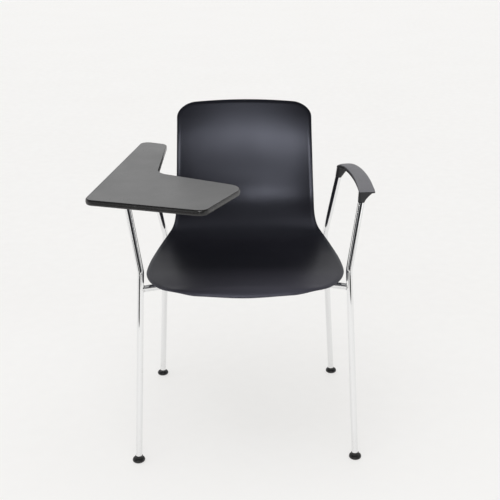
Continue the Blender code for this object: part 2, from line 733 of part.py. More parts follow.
def screw_profile(extra):
    """Profile of a countersunk screw that points up into the board, or of its hole with extra all round."""
    foot = SWIVEL_PLATE_BOTTOM + (0.0002 if extra == 0 else -0.0010)
    neck = SWIVEL_PLATE_BOTTOM + 0.0024
    return (
        (BOARD_SCREW_HEAD_RADIUS + extra, foot),
        (BOARD_SCREW_HEAD_RADIUS + extra, SWIVEL_PLATE_BOTTOM + 0.0006),
        (BOARD_SCREW_RADIUS + extra, neck),
        (BOARD_SCREW_RADIUS + extra, SWIVEL_PLATE_TOP + BOARD_SCREW_LENGTH + extra),
    )


def lowered(profile, drop):
    return tuple((radius, height - drop) for radius, height in profile)


def make_board(pivot):
    """The writing board, with a pocket for the pivot bolt's head and blind holes for its screws."""
    outline = [point - PIVOT for point in rounded_outline(BOARD_CORNERS)]
    base = pivot.location.z
    board = slab("tablet_board", outline, BOARD_BOTTOM - base, BOARD_TOP - base, "tablet_laminate", pivot)
    round_edges(board, BOARD_EDGE_ROUNDING, segments=2, angle=60)
    radius = PIVOT_HEAD_RADIUS + HOLE_GAP
    low = Vector((0, 0, BOARD_BOTTOM - base - 0.002))
    high = Vector((0, 0, BOARD_BOTTOM - base + PIVOT_HEAD_HEIGHT + HOLE_GAP))
    cut(board, rod("board_pocket", low, high, radius, None, pivot, sides=ROUND_SIDES))
    for index, place in enumerate(screw_places()):
        profile = lowered(screw_profile(HOLE_GAP), base)
        cut(board, turned(f"board_screw_hole_{index}", profile, place, None, pivot, sides=SMALL_SIDES))


def make_swivel_plate(pivot):
    """The steel plate screwed to the board's underside, which turns on the carrier."""
    base = pivot.location.z
    half_x, half_y = [size / 2 for size in SWIVEL_PLATE_SIZE]
    x, y = SWIVEL_PLATE_SHIFT
    outline = rectangle((x - half_x, x + half_x), (y - half_y, y + half_y), SWIVEL_PLATE_CORNER)
    low = SWIVEL_PLATE_BOTTOM - base
    high = SWIVEL_PLATE_TOP - base
    plate = slab("swivel_plate", outline, low, high, "black_steel", pivot)
    below = Vector((0, 0, low - 0.002))
    above = Vector((0, 0, high + 0.002))
    cut(plate, rod("swivel_plate_hole", below, above, PIVOT_BOLT_RADIUS + HOLE_GAP, None, pivot))
    for index, place in enumerate(screw_places()):
        profile = lowered(screw_profile(HOLE_GAP), base)
        cut(plate, turned(f"plate_screw_hole_{index}", profile, place, None, pivot, sides=SMALL_SIDES))


def make_board_screws(pivot):
    base = pivot.location.z
    for index, place in enumerate(screw_places()):
        profile = lowered(screw_profile(0), base)
        turned(f"board_screw_{index + 1}", profile, place, "zinc_steel", pivot, sides=SMALL_SIDES)


def make_pivot_bolt(pivot):
    """The bolt that the board swivels on, its head in the board's pocket and its nut under the carrier."""
    base = pivot.location.z
    head_bottom = SWIVEL_PLATE_TOP + GAP - base
    tip = CARRIER_BOTTOM - GAP - PIVOT_NUT_HEIGHT - 0.0015 - base
    profile = (
        (PIVOT_BOLT_RADIUS - 0.0006, tip),
        (PIVOT_BOLT_RADIUS, tip + 0.0006),
        (PIVOT_BOLT_RADIUS, head_bottom),
        (PIVOT_HEAD_RADIUS, head_bottom),
        (PIVOT_HEAD_RADIUS, head_bottom + PIVOT_HEAD_HEIGHT - 0.0012),
        (PIVOT_HEAD_RADIUS - 0.0012, head_bottom + PIVOT_HEAD_HEIGHT - 0.0004),
    )
    turned("pivot_bolt", profile, (0, 0), "zinc_steel", pivot)


def make_pivot_nut(pivot):
    base = pivot.location.z
    high = CARRIER_BOTTOM - GAP - base
    low = high - PIVOT_NUT_HEIGHT
    hexagon = circle(PIVOT_NUT_ACROSS_CORNERS / 2, 6)
    bore = circle(PIVOT_BOLT_RADIUS + HOLE_GAP, ROUND_SIDES)
    nut = slab("pivot_nut", hexagon, low, high, "zinc_steel", pivot)
    cut(nut, slab("pivot_nut_bore", bore, low - 0.002, high + 0.002, None, pivot))


def make_tablet(root):
    """The arm bar is fixed. The carrier folds on it, and the board swivels on the carrier."""
    origin, angle, post_spacing = arm_frame()
    arm = new_empty("arm_frame", origin, angle, root)
    offset = PIVOT - origin.to_2d()
    pivot_in_arm = Matrix.Rotation(-angle, 2) @ offset
    make_arm_bar(arm, post_spacing)
    make_rest_pads(arm)
    make_hinge_pin(arm)
    hinge = new_empty("fold_axis", (HINGE_X, 0, HINGE_HEIGHT), 0, arm)
    make_carrier(hinge, pivot_in_arm)
    make_friction_washer(hinge, pivot_in_arm)
    pivot = new_empty("swivel_axis", (PIVOT.x, PIVOT.y, CARRIER_TOP), 0, root)
    make_board(pivot)
    make_swivel_plate(pivot)
    make_board_screws(pivot)
    make_pivot_bolt(pivot)
    make_pivot_nut(pivot)


def centre_on_origin(root):
    """Moves the chair so that the origin is at the bottom centre of its bounding box."""
    bpy.context.view_layer.update()
    graph = bpy.context.evaluated_depsgraph_get()
    corners = []
    for thing in bpy.data.objects:
        if thing.type != "MESH" or thing.hide_render:
            continue
        evaluated = thing.evaluated_get(graph)
        corners += [evaluated.matrix_world @ vertex.co for vertex in evaluated.data.vertices]
    low = Vector([min(corner[axis] for corner in corners) for axis in range(3)])
    high = Vector([max(corner[axis] for corner in corners) for axis in range(3)])
    root.location = (-(low.x + high.x) / 2, -(low.y + high.y) / 2, -low.z)
    bpy.context.view_layer.update()


def main():
    clear_scene()
    make_materials()
    root = new_empty("chair", (0, 0, 0), 0, None)
    make_legs(root)
    make_cross_tube("front_cross_tube", FRONT_FOOT, FRONT_BEND, FRONT_WELD_HEIGHT, FRONT_CROSS_Y, root)
    make_cross_tube("rear_cross_tube", REAR_FOOT, REAR_BEND, REAR_WELD_HEIGHT, REAR_CROSS_Y, root)
    make_rail("left", -RAIL_X, root)
    make_rail("right", RAIL_X, root)
    make_glides(root)
    make_shell(root)
    make_shell_screws(root)
    make_armrest(root)
    make_tablet(root)
    centre_on_origin(root)


main()
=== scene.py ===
"""Looks of the classroom chair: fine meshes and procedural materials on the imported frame, a pale floor,
soft studio light and the camera.

Metres, +Z up, the chair faces -Y. Dimensions are given about the chair's centre plane x = 0, and every
piece is then moved by SHIFT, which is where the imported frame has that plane.
"""

import math

import bmesh
import bpy
import numpy as np
from mathutils import Matrix, Vector


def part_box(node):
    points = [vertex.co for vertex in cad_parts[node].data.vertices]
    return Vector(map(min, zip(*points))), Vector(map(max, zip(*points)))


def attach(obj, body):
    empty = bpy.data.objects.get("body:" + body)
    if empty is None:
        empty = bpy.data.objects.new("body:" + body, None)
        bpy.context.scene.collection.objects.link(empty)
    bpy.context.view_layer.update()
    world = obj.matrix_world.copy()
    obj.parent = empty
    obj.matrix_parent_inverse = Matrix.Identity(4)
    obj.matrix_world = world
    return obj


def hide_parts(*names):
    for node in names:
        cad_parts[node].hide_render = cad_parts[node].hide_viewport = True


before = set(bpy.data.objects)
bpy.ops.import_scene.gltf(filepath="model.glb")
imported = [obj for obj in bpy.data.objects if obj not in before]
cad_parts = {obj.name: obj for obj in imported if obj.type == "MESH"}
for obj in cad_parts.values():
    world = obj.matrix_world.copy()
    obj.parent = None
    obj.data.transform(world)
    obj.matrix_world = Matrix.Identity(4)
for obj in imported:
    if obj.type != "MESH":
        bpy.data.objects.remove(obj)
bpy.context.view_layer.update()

FRAME_BODY = "chair_frame"
CARRIER_BODY = "tablet_carrier"
TABLET_BODY = "tablet"
GAP = 0.0003
ROUND_SIDES = 48
BAR_SIDES = 32
SHARP_ANGLE = 35.0

# Chromed tubes: centre lines for the +X side
TUBE_RADIUS = 0.008
TUBE_BORE_RADIUS = 0.0065
TUBE_SIDES = 48
BEND_RADIUS = 0.045
BEND_STEPS = 16
FRONT_FOOT = Vector((0.2697, -0.2360, 0.0))
FRONT_BEND = Vector((0.2468, -0.1868, 0.4860))
FRONT_POST_TOP = Vector((0.2722, -0.1670, 0.6458))
REAR_FOOT = Vector((0.2487, 0.2225, 0.0))
REAR_BEND = Vector((0.2162, 0.1465, 0.4620))
REAR_POST_TOP = Vector((0.2435, 0.0906, 0.6370))
FRONT_WELD_HEIGHT = 0.4445
REAR_WELD_HEIGHT = 0.4350
CROSS_TUBE_HEIGHT = 0.4200
CROSS_TUBE_HALF_STRAIGHT = 0.150
FRONT_CROSS_Y = -0.100
REAR_CROSS_Y = 0.090
SADDLE_REACH = 0.05
WELD_RADIUS = 0.0017
WELD_SIDES = 10
WELD_SPLITS = 3
WELD_RIPPLES = 22
WELD_RIPPLE_SIZE = 0.13
WELD_WANDER = 11
WELD_WANDER_SIZE = 0.08

# Seat rails, glides and shell screws
RAIL_X = 0.105
RAIL_WIDTH = 0.028
RAIL_THICKNESS = 0.003
RAIL_ENDS_Y = (-0.122, 0.112)
RAIL_CORNER = 0.008
RAIL_WELD_RADIUS = WELD_RADIUS * 0.8
RAIL_WELD_SETBACK = 0.0035
RAIL_WELD_SINK = 0.0006
RAIL_WELD_STEPS = 40
SHEET_EDGE = 0.0006
GLIDE_RADIUS = 0.0154
GLIDE_HEIGHT = 0.0162
GLIDE_SHOULDER_HEIGHT = 0.0095
GLIDE_NECK_RADIUS = 0.0090
GLIDE_SOLE_RADIUS = 0.0092
GLIDE_WIDEST = 0.0046
GLIDE_SHOULDER = 0.0030
GLIDE_FILLET = 0.0012
GLIDE_FILLET_WAIST = 0.3
GLIDE_STEPS = 8
GLIDE_PLUG_RADIUS = 0.0060
GLIDE_PLUG_LENGTH = 0.020
BOSS_RADIUS = 0.0095
BOSS_Y = (-0.060, 0.050)
BOSS_CHAMFER = 0.0006
BOSS_FLARE = 0.004
BOSS_FLARE_HEIGHT = 0.006
BOSS_FLARE_STEPS = 6
SHELL_SCREW_RADIUS = 0.0029
SHELL_SCREW_TIP = 0.4370
SHELL_SCREW_SOCKET = 0.0022
SHELL_SCREW_HEAD_RADIUS = 0.0055
SHELL_SCREW_HEAD_HEIGHT = 0.0036

# Socket screws: the head's outline as shares of its radius and of its height, from its outer face inwards
SCREW_HEAD_PROFILE = ((0.72, 0.0), (0.93, 0.12), (1.0, 0.3), (1.0, 1.0))
SCREW_SOCKET_DEPTH = 0.6
SCREW_SOCKET_LIP = 0.0001
SCREW_SIDES = 24

# Seat shell: (y, z, half width, how far the sides stand towards the sitter) along the centre line
SHELL_STATIONS = (
    (-0.2610, 0.4500, 0.2430, 0.0000),
    (-0.2525, 0.4585, 0.2430, -0.0070),
    (-0.2150, 0.4655, 0.2430, -0.0120),
    (-0.1500, 0.4625, 0.2430, -0.0075),
    (-0.0800, 0.4545, 0.2425, 0.0005),
    (-0.0100, 0.4475, 0.2375, 0.0080),
    (0.0500, 0.4440, 0.2280, 0.0140),
    (0.1000, 0.4480, 0.2150, 0.0190),
    (0.1400, 0.4640, 0.1985, 0.0230),
    (0.1620, 0.4955, 0.1870, 0.0260),
    (0.1860, 0.5450, 0.1835, 0.0260),
    (0.2015, 0.6000, 0.1820, 0.0240),
    (0.2145, 0.6650, 0.1805, 0.0200),
    (0.2300, 0.7350, 0.1790, 0.0150),
    (0.2515, 0.8095, 0.1790, 0.0080),
)
SEAT_REAR_Y = 0.100
SHELL_WALL = 0.005
SHELL_COLUMNS = 72
SHELL_MIDDLE_ROWS = 90
SHELL_RIM_STEPS = 8
SHELL_SHARP_ANGLE = 60.0
SPLINE_POINTS = 900
COLUMN_EVENNESS = 0.25
SLOPE_STEP = 0.004
NORMAL_STEP = 0.003
FRONT_CORNER_WIDTH = 0.130
FRONT_CORNER_LENGTH = 0.180
FRONT_CORNER_ROWS = 30
FRONT_BOW = 0.058
FRONT_BOW_EASE = 3.6
BACK_CORNER_RADIUS = 0.047
BACK_CORNER_ROWS = 16
BACK_BOW = 0.0115
SIDE_CURVE_POWER = 2.2
LIP_WIDTH = 0.007
LIP_DROP = 0.0016
LIP_INSET = 0.0015
EDGE_SMOOTHING = 3

# Armrest: (x, y, z of the top, width, thickness) along the pad, front to rear
PAD_STATIONS = (
    (0.2844, -0.1790, 0.6760, 0.0372, 0.0042),
    (0.2844, -0.1740, 0.6772, 0.0378, 0.0052),
    (0.2840, -0.1500, 0.6812, 0.0380, 0.0085),
    (0.2828, -0.1100, 0.6850, 0.0380, 0.0115),
    (0.2792, -0.0550, 0.6872, 0.0380, 0.0135),
    (0.2732, -0.0050, 0.6870, 0.0380, 0.0140),
    (0.2644, 0.0420, 0.6835, 0.0375, 0.0140),
    (0.2562, 0.0740, 0.6765, 0.0355, 0.0130),
    (0.2522, 0.0880, 0.6705, 0.0320, 0.0100),
)
PAD_CORNER_POWER = 3.2
PAD_SIDES = 64
PAD_RINGS = 90
COLLAR_SIDES = 64
COLLAR_POWER = 4.5
COLLAR_STEPS = 16
COLLAR_INSET = 0.0008
COLLAR_DEEPENING = 0.0055
FRONT_COLLAR_FLARE = 1.45
REAR_COLLAR_FLARE = 1.0
FRONT_COLLAR_RISE = 0.003
FRONT_COLLAR_TOP = Vector((0.2842, -0.1660, 0.6755))
REAR_COLLAR_TOP = Vector((0.2535, 0.0765, 0.6690))
ARMREST_VOXEL = 0.0008
ARMREST_SMOOTHING = 5
SPIGOT_RADIUS = 0.0060
SPIGOT_LENGTH = 0.030

# Writing tablet: (x, y, radius) of the board's corners seen from above
BOARD_CORNERS = (
    (-0.3470, -0.3050, 0.022),
    (-0.0810, -0.3930, 0.022),
    (0.0045, -0.2135, 0.044),
    (-0.2050, -0.0920, 0.045),
    (-0.2060, 0.1920, 0.026),
    (-0.2755, 0.2280, 0.020),
)
BOARD_CORNER_STEPS = 20
BOARD_TOP = 0.7020
BOARD_THICKNESS = 0.0130
BOARD_FACE_EDGE = 0.0002
EDGE_BAND = 0.0030
EDGE_ROUNDING = 0.0052
EDGE_STEPS = 8
EDGE_GROOVE = 0.0004
EDGE_LAP = 0.0006
EDGE_LAP_SLOPE = 0.0001

# Tablet mechanism, in the arm's own frame: x inboard and y rearward from the front post's top
ARM_BAR_WIDTH = 0.030
ARM_BAR_THICKNESS = 0.008
ARM_BAR_OVERHANG = 0.016
ARM_BAR_CORNER = 0.006
ARM_BAR_EDGE = 0.0012
POST_WELD_OUTSET = 0.0006
POST_WELD_DROP = 0.0004
POST_WELD_POINTS = 132
PLATE_THICKNESS = 0.003
WASHER_THICKNESS = 0.001
WASHER_CHAMFER = 0.0002
REST_PAD_HEIGHT = 0.004
REST_PAD_RADIUS = 0.007
REST_PAD_CHAMFER = 0.0004
REST_PAD_ROUNDING = 0.0012
REST_PAD_STEPS = 5
REST_PADS_Y = (0.030, 0.215)
REST_PAD_X = 0.003
HINGE_X = -0.030
HINGE_DROP = 0.0111
KNUCKLE_RADIUS = 0.0055
KNUCKLE_CHAMFER = 0.0004
LUG_OVERLAP = 0.002
LUG_MARGIN = 0.001
LUG_CORNER = 0.0008
LUG_EDGE = 0.0005
HINGE_PIN_RADIUS = 0.0025
HINGE_PIN_CHAMFER = 0.0008
FIXED_KNUCKLES_Y = ((0.010, 0.040), (0.185, 0.215))
HINGE_PIN_ENDS_Y = (0.004, 0.221)
CARRIER_X = (-0.034, 0.022)
CARRIER_Y = (-0.010, 0.300)
CARRIER_CORNER = 0.010
WEB_CORNER = 0.0008
WEB_EDGE = 0.0003
WEB_BASE = 0.0005
WEB_OVERLAP = 0.001
PIVOT = Vector((-0.268, 0.112))
PIVOT_BOLT_RADIUS = 0.0040
PIVOT_NUT_RADIUS = 0.0075
PIVOT_NUT_HEIGHT = 0.0065
NUT_CHAMFER = 0.0007
NUT_COLLAR_HEIGHT = 0.0012
NUT_COLLAR_PROFILE = ((0.0052, 0.0), (0.0056, 0.0004), (0.0056, 0.0014))
BOLT_HEAD_PROFILE = ((0.0085, GAP), (0.0085, 0.0030), (0.0073, 0.0039))
BOLT_TIP_LENGTH = 0.0015
BOLT_TIP_CHAMFER = 0.0007
BOLT_TIP_HEIGHT = 0.0006
THREAD_PITCH = 0.0007
THREAD_DEPTH = 0.0004
THREAD_TURNS = 10
PIVOT_WASHER_RADIUS = 0.0150
SWIVEL_PLATE_SIZE = (0.056, 0.110)
SWIVEL_PLATE_SHIFT = (0.020, -0.010)
SWIVEL_PLATE_CORNER = 0.010
BOARD_SCREW_INSET = 0.010
BOARD_SCREW_HEAD_RADIUS = 0.0038
BOARD_SCREW_RADIUS = 0.0019
BOARD_SCREW_LENGTH = 0.0070
BOARD_SCREW_RECESS = 0.0002
BOARD_SCREW_HEAD_HEIGHT = 0.0014
BOARD_SCREW_SOCKET = 0.0015

# Heights of the mechanism, from the board down
BOARD_BOTTOM = BOARD_TOP - BOARD_THICKNESS
SWIVEL_PLATE_TOP = BOARD_BOTTOM - GAP
SWIVEL_PLATE_BOTTOM = SWIVEL_PLATE_TOP - PLATE_THICKNESS
WASHER_TOP = SWIVEL_PLATE_BOTTOM - GAP
WASHER_BOTTOM = WASHER_TOP - WASHER_THICKNESS
CARRIER_TOP = WASHER_BOTTOM - GAP
CARRIER_BOTTOM = CARRIER_TOP - PLATE_THICKNESS
REST_PAD_TOP = CARRIER_BOTTOM - GAP
ARM_BAR_TOP = REST_PAD_TOP - REST_PAD_HEIGHT - GAP
ARM_BAR_BOTTOM = ARM_BAR_TOP - ARM_BAR_THICKNESS
HINGE_HEIGHT = CARRIER_TOP - HINGE_DROP
LEG_BOTTOM = GLIDE_HEIGHT + GAP
RAIL_BOTTOM = CROSS_TUBE_HEIGHT + TUBE_RADIUS + GAP
RAIL_TOP = RAIL_BOTTOM + RAIL_THICKNESS

# Camera, about the chair's centre plane
CAMERA_PLACE = Vector((0.0110, -2.2144, 1.2888))
CAMERA_YAW = math.radians(1.631)
CAMERA_PITCH = math.radians(20.188)
CAMERA_LENS = 66.27
SENSOR_WIDTH = 36.0
CAMERA_SHIFT = (-0.0486, -0.0037)

# Studio. Each light: name, place, what it aims at, width and height, brightness
LIGHTS = (
    ("key_softbox", (-0.40, -2.55, 1.42), (0.0, 0.1, 0.7), (0.8, 0.34), 13.5),
    ("fill_softbox", (0.34, -2.55, 1.42), (0.0, 0.1, 0.7), (0.9, 0.34), 6.5),
    ("left_panel", (-1.55, -2.0, 0.75), (0.2, 0.0, 0.5), (0.5, 1.3), 0.7),
    ("right_panel", (1.9, -1.6, 0.75), (-0.2, 0.0, 0.5), (0.5, 1.3), 0.8),
)
OVERHEAD = 2.9
OVERHEAD_ANGLE = math.radians(80)
OVERHEAD_TURN = (math.radians(14), math.radians(-10), 0)
FLOOR_X = (-20.0, 20.0)
FLOOR_Y = (-3.4, 20.0)
FLOOR_GLOW = 0.63
BACKDROP = (0.905, 0.900, 0.892)
BACKDROP_GLOW = 0.90
ROOM_GLOW = 0.03

# The backdrop's reach in the world's directions: its side edge, and how it dims with height
BACKDROP_SIDE = (-0.10, 0.12)
BACKDROP_DIMS = (0.28, 0.42)
BACKDROP_DIMMED = 0.42
BACKDROP_ENDS = (0.62, 1.0)

# Black cards on the floor. Each: name, x of its leg, heading from -Y towards +X, how far off it starts
FLAGS = (
    ("left_flag", -0.2585, math.radians(-34), 1.50),
    ("right_flag", 0.2585, math.radians(17), 1.95),
)
FLAG_LEG_Y = -0.2120
FLAG_SPREAD = math.radians(22)
FLAG_REACH = 2.7
FLAG_HEIGHT = 0.002


def chair_shift():
    """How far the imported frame's chair stands from its own centre plane and from its feet's places."""
    shell_low, shell_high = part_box("seat_shell")
    foot_low, foot_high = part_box("front_right_glide")
    x = (shell_low.x + shell_high.x) / 2
    y = (foot_low.y + foot_high.y) / 2 - FRONT_FOOT.y
    return Vector((x, y, 0.0))


SHIFT = chair_shift()


# Node materials

def node(tree, kind, inputs=None, **settings):
    """A new shader node. Inputs are given by name or index: a socket is linked and a value is set."""
    made = tree.nodes.new(kind)
    for key, value in settings.items():
        setattr(made, key, value)
    for key, value in (inputs or {}).items():
        if isinstance(value, bpy.types.NodeSocket):
            tree.links.new(value, made.inputs[key])
        else:
            made.inputs[key].default_value = value
    return made


def new_material(name, metallic=0.0):
    """A material with an empty Principled shader: (material, shader, place on the object)."""
    material = bpy.data.materials.new(name)
    material.use_nodes = True
    shader = material.node_tree.nodes["Principled BSDF"]
    shader.inputs["Metallic"].default_value = metallic
    return material, shader, node(material.node_tree, "ShaderNodeTexCoord").outputs["Object"]


def connect(shader, base, roughness, normal):
    """Links a shader's base colour, roughness and normal."""
    for name, socket in (("Base Color", base), ("Roughness", roughness), ("Normal", normal)):
        shader.id_data.links.new(socket, shader.inputs[name])


def stretched(place, scale, turn):
    inputs = {"Vector": place, "Scale": scale, "Rotation": turn}
    return node(place.id_data, "ShaderNodeMapping", inputs).outputs[0]


def noise(place, scale, detail=3.0, distortion=0.0):
    inputs = {"Vector": place, "Scale": scale, "Detail": detail, "Roughness": 0.55, "Distortion": distortion}
    return node(place.id_data, "ShaderNodeTexNoise", inputs).outputs["Fac"]


def cells(place, scale):
    return node(place.id_data, "ShaderNodeTexVoronoi", {"Vector": place, "Scale": scale}).outputs["Distance"]


def ranged(value, source, target=(0.0, 1.0)):
    """A value mapped from one range to another, which is 0 to 1 unless given, and kept inside it."""
    inputs = dict(zip(("From Min", "From Max", "To Min", "To Max"), (*source, *target)))
    return node(value.id_data, "ShaderNodeMapRange", {"Value": value, **inputs}).outputs[0]


def maths(operation, first, second=0.0):
    return node(first.id_data, "ShaderNodeMath", {0: first, 1: second}, operation=operation).outputs[0]


def added(first, second):
    return maths("ADD", first, second)


def times(first, second):
    return maths("MULTIPLY", first, second)


def mixed(factor, first, second):
    inputs = {0: factor, 6: first, 7: second}
    return node(factor.id_data, "ShaderNodeMix", inputs, data_type="RGBA").outputs[2]


def bumped(height, distance, strength=1.0, below=None):
    inputs = {"Height": height, "Distance": distance, "Strength": strength}
    if below is not None:
        inputs["Normal"] = below
    return node(height.id_data, "ShaderNodeBump", inputs).outputs[0]


def coordinate(vector, axis):
    return node(vector.id_data, "ShaderNodeSeparateXYZ", {0: vector}).outputs[axis]


def scratches(place, heading, width=0.012):
    """Thin lines, 1 on a scratch and 0 elsewhere: a stretched noise taken near its middle value."""
    along = stretched(place, (260.0, 9.0, 120.0), (0.0, 0.0, heading))
    line = maths("ABSOLUTE", maths("SUBTRACT", noise(along, 1.0, 1.0), 0.5))
    return times(ranged(line, (0.0, width), (1.0, 0.0)), ranged(noise(place, 14.0, 2.0), (0.52, 0.66)))


def colour(grey, tint=(1.0, 1.0, 1.0)):
    return (grey * tint[0], grey * tint[1], grey * tint[2], 1.0)


def chrome_material():
    """Bright chrome plating on drawn tube: faint waviness, wiping marks, and dull pitting near the floor."""
    material, shader, place = new_material("bright_chrome", metallic=1.0)
    pits = ranged(noise(place, 900.0, 2.0), (0.60, 0.72))
    worn = times(pits, ranged(coordinate(place, "Z"), (0.012, 0.085), (1.0, 0.0)))
    base = mixed(worn, colour(0.88, (0.99, 0.995, 1.0)), colour(0.42, (1.0, 0.93, 0.84)))
    polish = ranged(noise(place, 45.0, 4.0), (0.35, 0.75), (0.03, 0.07))
    connect(shader, base, added(polish, times(worn, 0.3)), bumped(noise(place, 60.0, 1.0), 0.00004, 0.3))
    return material


def weld_material():
    """Chrome over a weld bead: duller and slightly uneven."""
    material, shader, place = new_material("chromed_weld", metallic=1.0)
    spots = noise(place, 520.0, 3.0)
    base = mixed(spots, colour(0.62), colour(0.80))
    roughness = ranged(spots, (0.3, 0.7), (0.16, 0.34))
    connect(shader, base, roughness, bumped(noise(place, 1300.0, 2.0), 0.00015, 0.6))
    return material


def moulded_grain(place, size, depth):
    """The fine spark-eroded grain of a moulding: rounded grains over a softer unevenness."""
    grains = bumped(cells(place, 1.0 / size), depth, 0.55)
    return bumped(noise(place, 0.45 / size, 3.0), depth, 0.5, grains)


def shell_material():
    """Charcoal polypropylene with a fine grain and light scuffs. Its front is painted paler: a painted sheen
    for the light that falls on the seat's front.
    """
    material, shader, place = new_material("shell_polypropylene")
    clouds = noise(place, 7.0, 3.0)
    specks = noise(place, 1500.0, 2.0)
    base = mixed(clouds, colour(0.0065, (1.0, 1.0, 1.35)), colour(0.0088, (1.0, 1.0, 1.35)))
    grained = mixed(ranged(specks, (0.62, 0.75), (0.0, 0.35)), base, colour(0.013, (1, 1, 1.12)))
    scuffs = maths("MAXIMUM", scratches(place, 0.5), scratches(place, -0.9, 0.008))
    # Painted sheen: the colour turns paler towards the seat's front, for the light that falls there.
    front = ranged(coordinate(place, "Y"), (-0.19, -0.01), (0.85, 0.0))
    sheen_change = mixed(front, grained, colour(0.043, (0.98, 0.95, 1.22)))
    marked = mixed(times(scuffs, 0.2), sheen_change, colour(0.040, (1, 1, 1.08)))
    texture = ranged(coordinate(place, "Z"), (0.475, 0.535), (0.43, 0.30))
    polish = added(texture, ranged(noise(place, 16.0, 4.0), (0.30, 0.72), (-0.012, 0.012)))
    shader.inputs["Specular IOR Level"].default_value = 0.55
    shader.inputs["Specular Tint"].default_value = (0.80, 0.83, 1.0, 1.0)
    connect(shader, marked, added(polish, times(scuffs, 0.06)), moulded_grain(place, 0.0009, 0.00001))
    return material


def armrest_material():
    """Matt charcoal moulding with a slightly coarser grain, smoother along the top where sleeves wear it.
    Faces that point up are painted a much paler grey: painted light from above.
    """
    material, shader, place = new_material("armrest_moulding")
    specks = ranged(noise(place, 1100.0, 3.0), (0.35, 0.70))
    base = mixed(specks, colour(0.016, (1, 1, 1.12)), colour(0.026, (1, 1, 1.12)))
    # Painted light: faces that point up take a paler grey, for the light from above.
    greyed = mixed(specks, colour(0.125, (1, 0.99, 1.06)), colour(0.180, (1, 0.99, 1.06)))
    facing = node(place.id_data, "ShaderNodeNewGeometry").outputs["Normal"]
    upward_light_mask = ranged(coordinate(facing, "Z"), (0.45, 0.85))
    sheen_change = ranged(noise(place, 38.0, 3.0), (0.40, 0.68))
    high = ranged(coordinate(place, "Z"), (0.676, 0.690))
    roughness = ranged(times(sheen_change, high), (0.0, 1.0), (0.56, 0.46))
    connect(shader, mixed(upward_light_mask, base, greyed), roughness, moulded_grain(place, 0.0008, 0.00007))
    return material


def glide_material():
    """Black nylon foot, greyed by dust and scuffed where it slides on the floor."""
    material, shader, place = new_material("glide_nylon")
    near_floor = ranged(coordinate(place, "Z"), (0.0005, 0.0045), (1.0, 0.0))
    dust = times(ranged(noise(place, 420.0, 4.0), (0.40, 0.65), (0.0, 0.7)), near_floor)
    base = mixed(dust, colour(0.012), colour(0.085, (1.0, 0.96, 0.9)))
    connect(shader, base, ranged(dust, (0.0, 0.7), (0.40, 0.75)), moulded_grain(place, 0.0007, 0.00004))
    return material


def laminate_material():
    """Grey high-pressure laminate: a fine pearl texture, faint mottling and hairline writing scratches."""
    material, shader, place = new_material("grey_laminate")
    mottle = noise(place, 24.0, 4.0)
    base = mixed(mottle, colour(0.088), colour(0.102))
    specks = ranged(noise(place, 1900.0, 2.0), (0.36, 0.66), (0.0, 0.45))
    speckled = mixed(specks, base, colour(0.135))
    hair = maths("MAXIMUM", scratches(place, 0.2, 0.006), scratches(place, 1.2, 0.005))
    marked = mixed(times(hair, 0.3), speckled, colour(0.20))
    sheen_change = ranged(noise(place, 9.0, 3.0), (0.35, 0.70), (0.31, 0.38))
    shader.inputs["Specular IOR Level"].default_value = 0.45
    roughness = maths("SUBTRACT", sheen_change, times(hair, 0.1))
    connect(shader, marked, roughness, moulded_grain(place, 0.0011, 0.00004))
    return material


def edge_band_material():
    """Dark moulded edge of the board, satin, with small knocks."""
    material, shader, place = new_material("board_edge")
    knocks = ranged(noise(place, 150.0, 4.0), (0.64, 0.74), (0.0, 0.6))
    base = mixed(knocks, mixed(noise(place, 60.0, 2.0), colour(0.010), colour(0.014)), colour(0.05))
    connect(shader, base, ranged(knocks, (0.0, 0.6), (0.24, 0.40)), moulded_grain(place, 0.0013, 0.00003))
    return material


def coated_steel_material():
    """Black powder coat: fine orange peel, with a few tiny chips."""
    material, shader, place = new_material("black_powder_coat")
    chips = ranged(noise(place, 340.0, 2.0), (0.735, 0.76))
    roughness = ranged(noise(place, 80.0, 3.0), (0.3, 0.7), (0.36, 0.50))
    peel = bumped(noise(place, 850.0, 2.0), 0.00006, 0.7)
    connect(shader, mixed(chips, colour(0.018), colour(0.16)), roughness, bumped(chips, 0.00004, -0.6, peel))
    return material


def zinc_material():
    """Bright zinc plate with a faint blue and straw passivation."""
    material, shader, place = new_material("zinc_plate", metallic=1.0)
    tones = noise(place, 190.0, 3.0, distortion=0.6)
    base = mixed(tones, colour(0.58, (0.94, 0.98, 1.05)), colour(0.66, (1.04, 1.0, 0.90)))
    roughness = ranged(tones, (0.3, 0.7), (0.22, 0.36))
    connect(shader, base, roughness, bumped(noise(place, 2200.0, 2.0), 0.00003, 0.6))
    return material


def rubber_material():
    """Soft black rubber, dusty in its pores."""
    material, shader, place = new_material("black_rubber")
    pores = noise(place, 1600.0, 3.0)
    base = mixed(ranged(pores, (0.55, 0.8)), colour(0.014), colour(0.05))
    connect(shader, base, ranged(pores, (0.3, 0.7), (0.70, 0.88)), bumped(pores, 0.0001, 0.6))
    return material


def floor_material():
    """Plain pale floor that glows like a lit studio sweep, so that shadows on it stay faint."""
    material, shader, place = new_material("studio_floor")
    tone = noise(place, 1.6, 3.0)
    glow = mixed(tone, colour(FLOOR_GLOW, (1.0, 0.985, 0.96)), colour(FLOOR_GLOW, (1.01, 1.0, 0.98)))
    links = material.node_tree.links
    links.new(mixed(tone, colour(0.215), colour(0.235)), shader.inputs["Base Color"])
    links.new(glow, shader.inputs["Emission Color"])
    links.new(ranged(noise(place, 22.0, 3.0), (0.3, 0.7), (0.55, 0.68)), shader.inputs["Roughness"])
    shader.inputs["Emission Strength"].default_value = 1.0
    return material


# Geometry

def at_height(start, end, height):
    """The point of the line through start and end that lies at a height."""
    return start.lerp(end, (height - start.z) / (end.z - start.z))


def mirrored(point):
    return Vector((-point.x, point.y, point.z))


def circle(radius, sides):
    turns = [2 * math.pi * step / sides for step in range(sides)]
    return [Vector((radius * math.cos(turn), radius * math.sin(turn))) for turn in turns]


